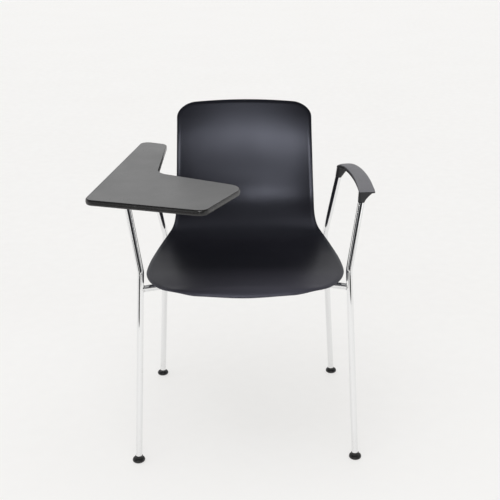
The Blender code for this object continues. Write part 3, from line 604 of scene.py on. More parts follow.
def level_circle(centre, radius, height, sides=ROUND_SIDES):
    """A level circle whose centre is given from above."""
    return [Vector((centre[0] + point.x, centre[1] + point.y, height)) for point in circle(radius, sides)]


def quarter(start, end, steps, level_first):
    """A quarter of an ellipse between two profile points, which leaves the first one level or upright."""
    points = []
    for step in range(steps + 1):
        turn = math.pi / 2 * step / steps
        shares = (math.sin(turn), 1 - math.cos(turn))
        across, up = shares if level_first else reversed(shares)
        points.append((start[0] + (end[0] - start[0]) * across, start[1] + (end[1] - start[1]) * up))
    return points


def fillet(before, corner, after, radius, steps):
    """Points of the arc that rounds a corner."""
    back = (before - corner).normalized()
    ahead = (after - corner).normalized()
    half = back.angle(ahead) / 2
    centre = corner + (back + ahead).normalized() * (radius / math.sin(half))
    start = corner + back * (radius / math.tan(half)) - centre
    finish = corner + ahead * (radius / math.tan(half)) - centre
    sweep = math.pi - 2 * half
    shares = [step / steps for step in range(steps + 1)]
    return [
        centre + (start * math.sin((1 - share) * sweep) + finish * math.sin(share * sweep)) / math.sin(sweep)
        for share in shares
    ]


def rounded_path(points, radius=BEND_RADIUS):
    """The path through the points, with an arc at each inner one."""
    path = [points[0]]
    for before, corner, after in zip(points, points[1:], points[2:]):
        path += fillet(before, corner, after, radius, BEND_STEPS)
    return path + [points[-1]]


def rounded_outline(corners, steps):
    """The closed outline of a flat piece from its corners, each (x, y, radius)."""
    outline = []
    count = len(corners)
    for index, (x, y, radius) in enumerate(corners):
        before = Vector(corners[index - 1][:2])
        after = Vector(corners[(index + 1) % count][:2])
        outline += fillet(before, Vector((x, y)), after, radius, steps)
    return outline


def rectangle(x_ends, y_ends, radius, steps=8):
    (x0, x1), (y0, y1) = x_ends, y_ends
    return rounded_outline([(x0, y0, radius), (x1, y0, radius), (x1, y1, radius), (x0, y1, radius)], steps)


def direction(path, index, closed=False):
    """The way that a path runs at one of its points."""
    last = len(path) - 1
    ahead = path[(index + 1) % len(path) if closed else min(index + 1, last)]
    return (ahead - path[index - 1 if closed else max(index - 1, 0)]).normalized()


def inset(outline, distance):
    """The outline moved inwards by a distance, for an outline that runs anticlockwise."""
    ways = [direction(outline, index, closed=True) for index in range(len(outline))]
    return [point + Vector((-way.y, way.x)) * distance for point, way in zip(outline, ways)]


def skin(rings, closed=False):
    """(points, faces) over rings of equal length, with flat ends, or closed into a loop."""
    sides = len(rings[0])
    count = len(rings)
    faces = []
    for ring in range(count if closed else count - 1):
        here = ring * sides
        there = (ring + 1) % count * sides
        for side in range(sides):
            beside = (side + 1) % sides
            faces.append((here + side, here + beside, there + beside, there + side))
    if not closed:
        faces.append(tuple(range(sides)))
        faces.append(tuple(range((count - 1) * sides, count * sides)))
    return [point for ring in rings for point in ring], faces


def together(*shapes):
    """Several (points, faces) as one."""
    points = []
    faces = []
    for shape_points, shape_faces in shapes:
        first = len(points)
        points += list(shape_points)
        faces += [tuple(first + index for index in face) for face in shape_faces]
    return points, faces


def moved(shape, matrix):
    points, faces = shape
    return [matrix @ Vector(point) for point in points], faces


def add_object(name, data):
    thing = bpy.data.objects.new(name, data)
    bpy.context.scene.collection.objects.link(thing)
    return thing


def build(name, shape, material, sharp=SHARP_ANGLE):
    """A smooth-shaded object in the frame from (points, faces) about the chair's centre plane."""
    points, faces = shape
    mesh = bpy.data.meshes.new(name)
    mesh.from_pydata([tuple(Vector(point) + SHIFT) for point in points], [], faces)
    working = bmesh.new()
    working.from_mesh(mesh)
    bmesh.ops.recalc_face_normals(working, faces=working.faces)
    working.to_mesh(mesh)
    working.free()
    mesh.shade_smooth()
    mesh.set_sharp_from_angle(angle=math.radians(sharp))
    mesh.materials.append(material)
    return add_object(name, mesh)


def piece(thing, body, slot, *nodes):
    """The object rides on a body and stands for CAD nodes. The slot is not used."""
    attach(thing, body)
    if nodes:
        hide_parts(*nodes)
    return thing


def add_part(name, shape, material, body, slot, *nodes):
    """Builds a piece that needs no further work on its mesh."""
    piece(build(name, shape, material), body, slot, *nodes)


def across_of(along, side):
    """Two directions square to one, the first of them nearest to side."""
    first = (side - along * side.dot(along)).normalized()
    return first, along.cross(first)


def ring_along(path, index, radius, sides):
    """A circle round a tube's path. Upright tubes are cut level at their ends."""
    along = direction(path, index)
    level = abs(along.z) < 0.5
    first, second = across_of(along, Vector((0, 0, 1)) if level else Vector((1, 0, 0)))
    ring = [path[index] + first * point.x + second * point.y for point in circle(radius, sides)]
    if index in (0, len(path) - 1) and not level:
        ring = [point - along * ((point.z - path[index].z) / along.z) for point in ring]
    return ring


def tube_rings(path, radius):
    return [ring_along(path, index, radius, TUBE_SIDES) for index in range(len(path))]


def hollow_tube(path):
    """A tube with open ends."""
    inside = tube_rings(path, TUBE_BORE_RADIUS)
    return skin(tube_rings(path, TUBE_RADIUS) + inside[::-1], closed=True)


def hinge_bar(y_ends, radius, chamfer, bore=None):
    """A round bar on the hinge's axis, with chamfered ends. With a bore, it is a knuckle."""
    start, end = [Vector((HINGE_X, y, HINGE_HEIGHT)) for y in y_ends]
    turn = (end - start).to_track_quat("Z", "Y").to_matrix()
    along = (end - start).normalized() * chamfer
    stations = [(start, radius - chamfer), (start + along, radius)]
    stations += [(end - along, radius), (end, radius - chamfer)]
    if bore:
        stations = [(start, bore), *stations, (end, bore)]
    rings = [
        [foot + turn @ Vector((*point, 0)) for point in circle(size, BAR_SIDES)] for foot, size in stations
    ]
    return skin(rings, closed=bool(bore))


def turned(profile, centre, closed=False):
    """A solid turned about a vertical axis from a profile of (radius, height) points."""
    return skin([level_circle(centre, radius, height) for radius, height in profile], closed)


def plate(outline, low, high, rounding, steps=3):
    """A flat piece with rounded upper and lower edges."""
    levels = quarter((rounding, low), (0, low + rounding), steps, True)
    levels += [(distance, high + low - height) for distance, height in reversed(levels)]
    return layered(outline, levels)


def layered(outline, levels, closed=False):
    """A skin over an outline drawn at levels of (how far inside it, height)."""
    rings = [[Vector((*point, height)) for point in inset(outline, distance)] for distance, height in levels]
    return skin(rings, closed)


def bead(points, radius, closed):
    """A weld bead along points: a rippled, slightly uneven cord."""
    rings = []
    for index, point in enumerate(points):
        along = direction(points, index, closed)
        first, second = across_of(along, Vector((0, 0, 1)) if abs(along.z) < 0.9 else Vector((1, 0, 0)))
        share = index / len(points)
        ripple = WELD_RIPPLE_SIZE * math.sin(2 * math.pi * WELD_RIPPLES * share)
        size = radius * (1 + ripple + WELD_WANDER_SIZE * math.sin(WELD_WANDER * share))
        rings.append([point + first * spot.x + second * spot.y for spot in circle(size, WELD_SIDES)])
    return skin(rings, closed)


# Chromed frame

def leg_points(foot, bend, post_top, post_height):
    return [at_height(foot, bend, LEG_BOTTOM), bend, at_height(bend, post_top, post_height)]


def make_legs(chrome):
    """The right posts end at the armrest's collars, and the left ones run on up to the arm bar."""
    left_height = ARM_BAR_BOTTOM - GAP
    lines = (
        ("front", FRONT_FOOT, FRONT_BEND, FRONT_POST_TOP, FRONT_POST_TOP.z + FRONT_COLLAR_RISE - GAP),
        ("rear", REAR_FOOT, REAR_BEND, REAR_POST_TOP, REAR_POST_TOP.z - GAP),
    )
    for place, foot, bend, post_top, right_height in lines:
        right = leg_points(foot, bend, post_top, right_height)
        left = [mirrored(point) for point in leg_points(foot, bend, post_top, left_height)]
        for side, points in (("right", right), ("left", left)):
            shape = hollow_tube(rounded_path(points))
            add_part(f"{place}_{side}_chrome_leg", shape, chrome, FRAME_BODY, "chrome", f"{place}_{side}_leg")


def meet(point, along, leg_point, leg_along, radius):
    """Where the line from a point first meets the surface of a leg of that radius."""
    offset = point - leg_point
    flat = offset - leg_along * offset.dot(leg_along)
    slope = along - leg_along * along.dot(leg_along)
    half = flat.dot(slope)
    root = math.sqrt(max(0.0, half * half - slope.length_squared * (flat.length_squared - radius * radius)))
    return point + along * ((-half - root) / slope.length_squared)


def saddle(ring, along, foot, bend, radius):
    leg_along = (bend - foot).normalized()
    return [meet(point - along * SADDLE_REACH, along, foot, leg_along, radius) for point in ring]


def make_cross_tube(place, foot, bend, weld_height, straight_y, chrome, weld):
    """A tube between two legs, mitred round each of them, with a weld bead at each joint."""
    weld_point = at_height(foot, bend, weld_height)
    inner = Vector((CROSS_TUBE_HALF_STRAIGHT, straight_y, CROSS_TUBE_HEIGHT))
    path = rounded_path([mirrored(weld_point), mirrored(inner), inner, weld_point])
    along = (weld_point - inner).normalized()
    ends = ((0, mirrored(along), mirrored(foot), mirrored(bend)), (-1, along, foot, bend))
    skins = []
    for radius in (TUBE_RADIUS, TUBE_BORE_RADIUS):
        rings = tube_rings(path, radius)
        for end, outward, leg_foot, leg_bend in ends:
            rings[end] = saddle(rings[end], outward, leg_foot, leg_bend, TUBE_RADIUS + GAP)
        skins.append(rings)
    shape = skin(skins[0] + skins[1][::-1], closed=True)
    add_part(f"{place}_chrome_cross_tube", shape, chrome, FRAME_BODY, "chrome", f"{place}_cross_tube")
    for side, end in (("left", 0), ("right", -1)):
        loop = skins[0][end]
        add_part(f"{place}_{side}_weld", bead(finer(loop), WELD_RADIUS, True), weld, FRAME_BODY, "chrome")


def finer(loop):
    """A closed loop of points with each side split, so that a weld's ripples show."""
    points = []
    for index, point in enumerate(loop):
        beside = loop[(index + 1) % len(loop)]
        points += [point.lerp(beside, step / WELD_SPLITS) for step in range(WELD_SPLITS)]
    return points


def make_glide(place, side, foot, bend, nylon):
    """A round foot: a bun on the floor, a neck that the leg stands on, and the plug that sits in the leg."""
    widest = (GLIDE_RADIUS, GLIDE_WIDEST)
    shoulder = (GLIDE_RADIUS - GLIDE_SHOULDER, GLIDE_SHOULDER_HEIGHT)
    bun = quarter((GLIDE_SOLE_RADIUS, 0), widest, GLIDE_STEPS, True)
    bun += quarter(widest, shoulder, GLIDE_STEPS, False)[1:]
    waist = GLIDE_FILLET * GLIDE_FILLET_WAIST
    neck = [
        (GLIDE_NECK_RADIUS + GLIDE_FILLET, GLIDE_SHOULDER_HEIGHT),
        (GLIDE_NECK_RADIUS + waist, GLIDE_SHOULDER_HEIGHT + waist),
        (GLIDE_NECK_RADIUS, GLIDE_SHOULDER_HEIGHT + GLIDE_FILLET),
        (GLIDE_NECK_RADIUS, GLIDE_HEIGHT - GLIDE_FILLET / 2),
        (GLIDE_NECK_RADIUS - GLIDE_FILLET / 2, GLIDE_HEIGHT),
        (GLIDE_PLUG_RADIUS, GLIDE_HEIGHT),
        (GLIDE_PLUG_RADIUS, GLIDE_HEIGHT + GLIDE_PLUG_LENGTH),
    ]
    rings = [level_circle(at_height(foot, bend, 0.0), radius, height) for radius, height in bun]
    rings += [level_circle(at_height(foot, bend, height), radius, height) for radius, height in neck]
    shape = skin(rings)
    add_part(f"{place}_{side}_nylon_foot", shape, nylon, FRAME_BODY, "glide_plastic", f"{place}_{side}_glide")


def make_frame(chrome, weld, nylon):
    make_legs(chrome)
    make_cross_tube("front", FRONT_FOOT, FRONT_BEND, FRONT_WELD_HEIGHT, FRONT_CROSS_Y, chrome, weld)
    make_cross_tube("rear", REAR_FOOT, REAR_BEND, REAR_WELD_HEIGHT, REAR_CROSS_Y, chrome, weld)
    for place, foot, bend in (("front", FRONT_FOOT, FRONT_BEND), ("rear", REAR_FOOT, REAR_BEND)):
        make_glide(place, "right", foot, bend, nylon)
        make_glide(place, "left", mirrored(foot), mirrored(bend), nylon)


def make_rails(coated, weld):
    """The two flat rails under the shell, with short welds where they cross the tubes."""
    half = RAIL_WIDTH / 2
    for side, x in (("left", -RAIL_X), ("right", RAIL_X)):
        outline = rectangle((x - half, x + half), RAIL_ENDS_Y, RAIL_CORNER)
        shape = plate(outline, RAIL_BOTTOM, RAIL_TOP, SHEET_EDGE)
        add_part(f"{side}_coated_rail", shape, coated, FRAME_BODY, "black_steel", f"{side}_seat_rail")
        for place, tube_y in (("front", FRONT_CROSS_Y), ("rear", REAR_CROSS_Y)):
            start = Vector((x - half, tube_y - RAIL_WELD_SETBACK, RAIL_BOTTOM - RAIL_WELD_SINK))
            steps = range(RAIL_WELD_STEPS + 1)
            line = [start + Vector((RAIL_WIDTH * step / RAIL_WELD_STEPS, 0, 0)) for step in steps]
            shape = bead(line, RAIL_WELD_RADIUS, False)
            add_part(f"{side}_{place}_rail_weld", shape, weld, FRAME_BODY, "black_steel")


def socket_ring(centre, radius, height, sides=SCREW_SIDES):
    """A hexagon with as many points as a circle, for a hexagon socket or nut."""
    ring = []
    for point in circle(1.0, sides):
        turn = math.atan2(point.y, point.x) % (math.pi / 3) - math.pi / 6
        reach = radius * math.cos(math.pi / 6) / math.cos(turn)
        ring.append(Vector((centre[0] + point.x * reach, centre[1] + point.y * reach, height)))
    return ring


def socket_screw(centre, head_radius, bottom, top, shank, tip, socket):
    """A round-headed screw that points up, with a hexagon socket in the head below."""
    height = top - bottom
    depths = (SCREW_SOCKET_DEPTH * height, SCREW_SOCKET_LIP)
    outside = [(head_radius * wide, bottom + high * height) for wide, high in SCREW_HEAD_PROFILE]
    outside += [(shank, top), (shank, tip)]
    rings = [socket_ring(centre, socket, bottom + depth) for depth in depths]
    return skin(rings + [level_circle(centre, radius, level, SCREW_SIDES) for radius, level in outside])


def boss_places():
    """(name, place from above) of the four bosses and their screws."""
    return [
        (f"{side}_{place}", (x, y))
        for side, x in (("left", -RAIL_X), ("right", RAIL_X))
        for place, y in zip(("front", "rear"), BOSS_Y)
    ]


def make_shell_screws(zinc):
    top = RAIL_BOTTOM - GAP
    head = (SHELL_SCREW_HEAD_RADIUS, top - SHELL_SCREW_HEAD_HEIGHT, top)
    for name, centre in boss_places():
        shape = socket_screw(centre, *head, SHELL_SCREW_RADIUS, SHELL_SCREW_TIP, SHELL_SCREW_SOCKET)
        add_part(f"{name}_socket_screw", shape, zinc, FRAME_BODY, "zinc_steel", f"{name}_shell_screw")


# Seat shell

def smooth_through(stations, measured, count):
    """A natural cubic spline through the stations, sampled evenly: (points, distances along it)."""
    points = np.array(stations, float)
    knots = np.concatenate([[0.0], np.cumsum(np.linalg.norm(np.diff(points[:, :measured], axis=0), axis=1))])
    gaps = np.diff(knots)[:, None]
    slopes = np.diff(points, axis=0) / gaps
    size = len(points)
    system = np.eye(size)
    wanted = np.zeros_like(points)
    for index in range(1, size - 1):
        system[index, index - 1] = gaps[index - 1, 0]
        system[index, index] = 2 * (gaps[index - 1, 0] + gaps[index, 0])
        system[index, index + 1] = gaps[index, 0]
        wanted[index] = 6 * (slopes[index] - slopes[index - 1])
    bends = np.linalg.solve(system, wanted)
    places = np.linspace(0, knots[-1], count)
    piece_of = np.clip(np.searchsorted(knots, places, side="right") - 1, 0, size - 2)
    step = gaps[piece_of]
    after = places[:, None] - knots[piece_of][:, None]
    before = step - after
    curve = (
        bends[piece_of] * before**3 / (6 * step)
        + bends[piece_of + 1] * after**3 / (6 * step)
        + (points[piece_of] / step - bends[piece_of] * step / 6) * before
        + (points[piece_of + 1] / step - bends[piece_of + 1] * step / 6) * after
    )
    steps = np.linalg.norm(np.diff(curve[:, :measured], axis=0), axis=1)
    return curve, np.concatenate([[0.0], np.cumsum(steps)])


def shell_rows(length):
    """Distances along the centre line at which the shell has rows of points, closer at the ends."""
    front_turns = np.linspace(0, math.pi / 2, FRONT_CORNER_ROWS)
    front = LIP_INSET + (FRONT_CORNER_LENGTH - LIP_INSET) * (1 - np.cos(front_turns))
    last = length - BACK_CORNER_RADIUS
    middle = np.linspace(FRONT_CORNER_LENGTH, last, SHELL_MIDDLE_ROWS + 1)[1:]
    back_turns = np.linspace(0, math.pi / 2, BACK_CORNER_ROWS + 1)[1:]
    back = last + (BACK_CORNER_RADIUS - LIP_INSET) * np.sin(back_turns)
    return np.concatenate([front, middle, back])


def half_width_at(distance, line, distances):
    """Half width of the shell's outline at each distance, narrowed by the rounded corners at both ends."""
    length = distances[-1]
    front = np.clip(1 - (distance - LIP_INSET) / (FRONT_CORNER_LENGTH - LIP_INSET), 0, 1)
    back = np.clip(1 - (length - LIP_INSET - distance) / (BACK_CORNER_RADIUS - LIP_INSET), 0, 1)
    half_width = np.interp(distance, distances, line[:, 2]) - LIP_INSET
    half_width = half_width - FRONT_CORNER_WIDTH * (1 - np.sqrt(1 - front**2))
    return half_width - BACK_CORNER_RADIUS * (1 - np.sqrt(1 - back**2))


def surface_at(x, distance, line, distances):
    """Points of the smooth sitting surface, from the distances beside its centre line and along it."""
    y, z, width, lift = [np.interp(distance, distances, column) for column in line.T]
    ahead, behind = [
        np.stack([np.interp(distance + shift, distances, column) for column in line.T[:2]], axis=-1)
        for shift in (SLOPE_STEP, -SLOPE_STEP)
    ]
    along = unit_rows(ahead - behind)
    front = np.clip(1 - distance / FRONT_CORNER_LENGTH, 0, 1)
    back = np.clip(1 - (distances[-1] - distance) / BACK_CORNER_RADIUS, 0, 1)
    share = np.abs(x) / width
    rise = lift * share**SIDE_CURVE_POWER
    front_bow = FRONT_BOW * front / (1 + FRONT_BOW_EASE * share**2)
    lag = (front_bow - BACK_BOW * back) * share**2
    out_y = y - along[..., 1] * rise + along[..., 0] * lag
    return np.stack([x, out_y, z + along[..., 0] * rise + along[..., 1] * lag], axis=-1)


def lip_drops(flat):
    """How far each point of the flattened shell is pressed down, from its distance to the outline."""
    loop = np.array([flat[spot] for spot in edge_loop(flat)])
    ahead = np.roll(loop, -1, axis=0) - loop
    outline = np.concatenate([loop + ahead * share for share in (0.0, 0.33, 0.67)])
    gaps = np.linalg.norm(flat[:, :, None, :] - outline[None, None], axis=3).min(axis=2)
    return LIP_DROP * np.clip(1 - gaps / LIP_WIDTH, 0, 1) ** 2


def sitting_face():
    """The grid of points of the sitting face, their normals, and how far the lip presses each one down."""
    line, distances = smooth_through(SHELL_STATIONS, 2, SPLINE_POINTS)
    rows = shell_rows(distances[-1])
    even = np.linspace(-1, 1, SHELL_COLUMNS + 1)
    shares = COLUMN_EVENNESS * even + (1 - COLUMN_EVENNESS) * np.sin(even * math.pi / 2)
    x = half_width_at(rows, line, distances)[:, None] * shares
    distance = np.repeat(rows[:, None], len(shares), axis=1)
    inside = np.clip(distance, NORMAL_STEP, distances[-1] - NORMAL_STEP)

    def nearby(x_step, along_step):
        return surface_at(x + x_step, inside + along_step, line, distances)

    across = nearby(NORMAL_STEP, 0) - nearby(-NORMAL_STEP, 0)
    down = nearby(0, NORMAL_STEP) - nearby(0, -NORMAL_STEP)
    grid = surface_at(x, distance, line, distances)
    return grid, unit_rows(np.cross(across, down)), lip_drops(np.stack([x, distance], axis=-1))


def unit_rows(vectors):
    return vectors / np.linalg.norm(vectors, axis=-1, keepdims=True)


def edge_loop(grid):
    """Indices (row, column) of the grid's border, in order round it."""
    rows, columns = grid.shape[:2]
    loop = [(0, column) for column in range(columns)]
    loop += [(row, columns - 1) for row in range(1, rows)]
    loop += [(rows - 1, column) for column in range(columns - 2, -1, -1)]
    loop += [(row, 0) for row in range(rows - 2, 0, -1)]
    return loop


def shell_shape():
    """The shell's sitting face, its back face and the rounded rim that joins them."""
    rim = SHELL_WALL / 2
    grid, normals, drops = sitting_face()
    grid = grid - normals * drops[:, :, None]
    back = grid - normals * SHELL_WALL
    count_rows, columns = grid.shape[:2]
    points = [tuple(point) for face in (grid, back) for point in face.reshape(-1, 3)]
    behind = count_rows * columns
    faces = []
    for row in range(count_rows - 1):
        for column in range(columns - 1):
            corner = row * columns + column
            face = (corner, corner + 1, corner + columns + 1, corner + columns)
            faces.append(face)
            faces.append(tuple(behind + index for index in reversed(face)))
    loop = edge_loop(grid)
    strips = [[row * columns + column for row, column in loop]]
    edge = np.array([grid[spot] for spot in loop])
    edge_normals = np.array([normals[spot] for spot in loop])
    tangents = np.roll(edge, -1, axis=0) - np.roll(edge, 1, axis=0)
    outward = unit_rows(np.cross(unit_rows(tangents), edge_normals))
    for _ in range(EDGE_SMOOTHING):
        outward = unit_rows(np.roll(outward, 1, axis=0) + outward + np.roll(outward, -1, axis=0))
    middle = edge - edge_normals * rim
    for step in range(1, SHELL_RIM_STEPS):
        turn = math.pi * step / SHELL_RIM_STEPS
        ring = middle + edge_normals * (rim * math.cos(turn)) + outward * (rim * math.sin(turn))
        strips.append(list(range(len(points), len(points) + len(loop))))
        points += [tuple(point) for point in ring]
    strips.append([behind + row * columns + column for row, column in loop])
    for here, there in zip(strips, strips[1:]):
        for index in range(len(loop)):
            beside = (index + 1) % len(loop)
            faces.append((here[index], here[beside], there[beside], there[index]))
    return points, faces


def make_shell(plastic):
    shell = build("moulded_shell", shell_shape(), plastic, SHELL_SHARP_ANGLE)
    piece(shell, FRAME_BODY, "shell_plastic", "seat_shell")


def underside_height(y):
    line = smooth_through(SHELL_STATIONS, 2, SPLINE_POINTS)[0]
    seat = line[line[:, 0] < SEAT_REAR_Y]
    return float(np.interp(y, seat[:, 0], seat[:, 1])) - SHELL_WALL


def make_bosses(plastic):
    """Moulded screw bosses under the seat, flared into the shell."""
    low = RAIL_TOP + GAP
    for name, centre in boss_places():
        high = underside_height(centre[1]) + SHELL_WALL / 2
        profile = [(BOSS_RADIUS - BOSS_CHAMFER, low), (BOSS_RADIUS, low + BOSS_CHAMFER)]
        neck = (BOSS_RADIUS, high - BOSS_FLARE_HEIGHT)
        profile += quarter(neck, (BOSS_RADIUS + BOSS_FLARE, high), BOSS_FLARE_STEPS, False)
        add_part(f"{name}_shell_boss", turned(profile, centre), plastic, FRAME_BODY, "shell_plastic")


# Armrest

def superellipse(half_width, half_depth, power, sides):
    """A closed outline between an ellipse and a rectangle, squarer as the power grows."""
    outline = []
    for point in circle(1.0, sides):
        x, y = [math.copysign(abs(part) ** (2 / power), part) for part in point]
        outline.append(Vector((x * half_width, y * half_depth, 0)))
    return outline


def pad_rings():
    """Rings of the pad across its length, each a rounded box with its top on the centre line."""
    curve = smooth_through(PAD_STATIONS, 3, PAD_RINGS)[0]
    line = [Vector(row[:3]) for row in curve]
    rings = []
    for index, (width, thickness) in enumerate(curve[:, 3:]):
        along = direction(line, index)
        across = along.cross(Vector((0, 0, 1))).normalized()
        up = across.cross(along)
        outline = superellipse(width / 2, thickness / 2, PAD_CORNER_POWER, PAD_SIDES)
        rings.append([line[index] + across * point.x + up * (point.y - thickness / 2) for point in outline])
    return rings


def collar_rings(bend, post_top, pad_centre, pad_width, flare):
    """The neck from a post's end up into the pad, squaring off as it widens, with the post's spigot below."""
    foot = at_height(bend, post_top, post_top.z - SPIGOT_LENGTH)
    spigot = superellipse(SPIGOT_RADIUS, SPIGOT_RADIUS, 2.0, COLLAR_SIDES)
    rings = [[centre + point for point in spigot] for centre in (foot, post_top)]
    for step in range(COLLAR_STEPS + 1):
        share = step / COLLAR_STEPS
        spread = share**flare
        centre = post_top.lerp(pad_centre, share)
        centre.x = post_top.x + (pad_centre.x - post_top.x) * spread
        half_width = TUBE_RADIUS + (pad_width / 2 - COLLAR_INSET - TUBE_RADIUS) * spread
        half_depth = TUBE_RADIUS + COLLAR_DEEPENING * share
        outline = superellipse(half_width, half_depth, 2.0 + (COLLAR_POWER - 2.0) * share, COLLAR_SIDES)
        rings.append([centre + point for point in outline])
    return rings


def melted(thing, voxel, smoothing):
    """The object's overlapping shells turned into one skin with soft inner corners."""
    remesh = thing.modifiers.new("remesh", "REMESH")
    remesh.mode = "VOXEL"
    remesh.voxel_size = voxel
    remesh.use_smooth_shade = True
    soften = thing.modifiers.new("soften", "SMOOTH")
    soften.factor = 0.5
    soften.iterations = smoothing
    evaluated = thing.evaluated_get(bpy.context.evaluated_depsgraph_get())
    mesh = bpy.data.meshes.new_from_object(evaluated)
    thing.modifiers.clear()
    thing.data = mesh
    return thing


def make_armrest(plastic):
    """The pad with a collar at each end, as one moulding."""
    front_end = at_height(FRONT_BEND, FRONT_POST_TOP, FRONT_POST_TOP.z + FRONT_COLLAR_RISE)
    front_width, rear_width = PAD_STATIONS[0][3], PAD_STATIONS[-1][3]
    shape = together(
        skin(pad_rings()),
        skin(collar_rings(FRONT_BEND, front_end, FRONT_COLLAR_TOP, front_width, FRONT_COLLAR_FLARE)),
        skin(collar_rings(REAR_BEND, REAR_POST_TOP, REAR_COLLAR_TOP, rear_width, REAR_COLLAR_FLARE)),
    )
    armrest = melted(build("moulded_armrest", shape, plastic), ARMREST_VOXEL, ARMREST_SMOOTHING)
    piece(armrest, FRAME_BODY, "armrest_plastic", "armrest")


# Writing tablet and its mechanism

def arm_matrix():
    """Where the arm's own frame stands and the spacing of its posts."""
    front = mirrored(at_height(FRONT_BEND, FRONT_POST_TOP, ARM_BAR_BOTTOM))
    rear = mirrored(at_height(REAR_BEND, REAR_POST_TOP, ARM_BAR_BOTTOM))
    line = rear - front
    angle = -math.atan2(line.x, line.y)
    matrix = Matrix.Translation((front.x, front.y, 0)) @ Matrix.Rotation(angle, 4, "Z")
    return matrix, math.hypot(line.x, line.y)


def make_arm_bar(arm, spacing, coated, weld):
    """The flat bar across the left posts, with a lug and a hinge knuckle at each end of the hinge."""
    half = ARM_BAR_WIDTH / 2
    outline = rectangle((-half, half), (-ARM_BAR_OVERHANG, spacing + ARM_BAR_OVERHANG), ARM_BAR_CORNER)
    shapes = [plate(outline, ARM_BAR_BOTTOM, ARM_BAR_TOP, ARM_BAR_EDGE)]
    lug_x = (HINGE_X + HINGE_PIN_RADIUS + GAP, -half + LUG_OVERLAP)
    low = HINGE_HEIGHT - KNUCKLE_RADIUS + LUG_MARGIN
    for start, end in FIXED_KNUCKLES_Y:
        shapes.append(hinge_bar((start, end), KNUCKLE_RADIUS, KNUCKLE_CHAMFER, HINGE_PIN_RADIUS + GAP))
        lug = rectangle(lug_x, (start + GAP, end - GAP), LUG_CORNER)
        shapes.append(plate(lug, low, HINGE_HEIGHT + LUG_MARGIN, LUG_EDGE))
    shape = moved(together(*shapes), arm)
    add_part("coated_arm_bar", shape, coated, FRAME_BODY, "black_steel", "tablet_arm_bar")
    for place, y in (("front", 0.0), ("rear", spacing)):
        radius, height = TUBE_RADIUS + POST_WELD_OUTSET, ARM_BAR_BOTTOM - POST_WELD_DROP
        ring = level_circle(Vector((0, y)), radius, height, POST_WELD_POINTS)
        shape = moved(bead(ring, WELD_RADIUS, True), arm)
        add_part(f"{place}_post_weld", shape, weld, FRAME_BODY, "black_steel")


def make_rest_pads(arm, rubber):
    low = ARM_BAR_TOP + GAP
    profile = [(REST_PAD_RADIUS - REST_PAD_CHAMFER, low), (REST_PAD_RADIUS, low + REST_PAD_CHAMFER)]
    side = (REST_PAD_RADIUS, REST_PAD_TOP - REST_PAD_ROUNDING)
    profile += quarter(side, (REST_PAD_RADIUS - REST_PAD_ROUNDING, REST_PAD_TOP), REST_PAD_STEPS, False)
    for place, y in zip(("front", "rear"), REST_PADS_Y):
        shape = moved(turned(profile, (REST_PAD_X, y)), arm)
        add_part(f"{place}_rubber_rest", shape, rubber, FRAME_BODY, "rubber", f"{place}_rest_pad")


def make_hinge_pin(arm, zinc):
    """The pin, chamfered at both ends."""
    shape = hinge_bar(HINGE_PIN_ENDS_Y, HINGE_PIN_RADIUS, HINGE_PIN_CHAMFER)
    add_part("zinc_hinge_pin", moved(shape, arm), zinc, FRAME_BODY, "zinc_steel", "hinge_pin")


def make_carrier(arm, coated):
    """The folding plate, with one long knuckle hanging from its outer edge."""
    start = FIXED_KNUCKLES_Y[0][1] + GAP
    end = FIXED_KNUCKLES_Y[1][0] - GAP
    web_x = (HINGE_X - KNUCKLE_RADIUS + GAP, HINGE_X - HINGE_PIN_RADIUS - GAP)
    web = rectangle(web_x, (start + GAP, end - GAP), WEB_CORNER)
    shape = together(
        plate(rectangle(CARRIER_X, CARRIER_Y, CARRIER_CORNER), CARRIER_BOTTOM, CARRIER_TOP, SHEET_EDGE),
        hinge_bar((start, end), KNUCKLE_RADIUS, KNUCKLE_CHAMFER, HINGE_PIN_RADIUS + GAP),
        plate(web, HINGE_HEIGHT + WEB_BASE, CARRIER_BOTTOM + WEB_OVERLAP, WEB_EDGE),
    )
    add_part("coated_carrier", moved(shape, arm), coated, CARRIER_BODY, "black_steel", "carrier_plate")


def make_washer(nylon):
    profile = (
        (PIVOT_BOLT_RADIUS + GAP, WASHER_BOTTOM),
        (PIVOT_WASHER_RADIUS - WASHER_CHAMFER, WASHER_BOTTOM),
        (PIVOT_WASHER_RADIUS, WASHER_BOTTOM + WASHER_CHAMFER),
        (PIVOT_WASHER_RADIUS, WASHER_TOP - WASHER_CHAMFER),
        (PIVOT_WASHER_RADIUS - WASHER_CHAMFER, WASHER_TOP),
        (PIVOT_BOLT_RADIUS + GAP, WASHER_TOP),
    )
    shape = turned(profile, PIVOT, closed=True)
    add_part("nylon_pivot_washer", shape, nylon, CARRIER_BODY, "glide_plastic", "friction_washer")


def make_board(laminate, edge):
    """The writing board: a laminate top and backer, and a moulded edge round them with a rounded nose."""
    outline = rounded_outline(BOARD_CORNERS, BOARD_CORNER_STEPS)
    face = inset(outline, EDGE_BAND)
    shape = plate(face, BOARD_BOTTOM + EDGE_GROOVE, BOARD_TOP, BOARD_FACE_EDGE, steps=1)
    add_part("laminate_board", shape, laminate, TABLET_BODY, "tablet_laminate", "tablet_board")
    levels = [(EDGE_BAND, BOARD_TOP - EDGE_LAP), (EDGE_BAND - EDGE_LAP_SLOPE, BOARD_TOP - BOARD_FACE_EDGE)]
    levels += quarter((EDGE_BAND - EDGE_LAP, BOARD_TOP), (0, BOARD_TOP - EDGE_ROUNDING), EDGE_STEPS, True)
    below = [(distance, BOARD_TOP + BOARD_BOTTOM - height) for distance, height in reversed(levels)]
    shape = layered(outline, levels + below, closed=True)
    add_part("board_edge_band", shape, edge, TABLET_BODY, "tablet_laminate")


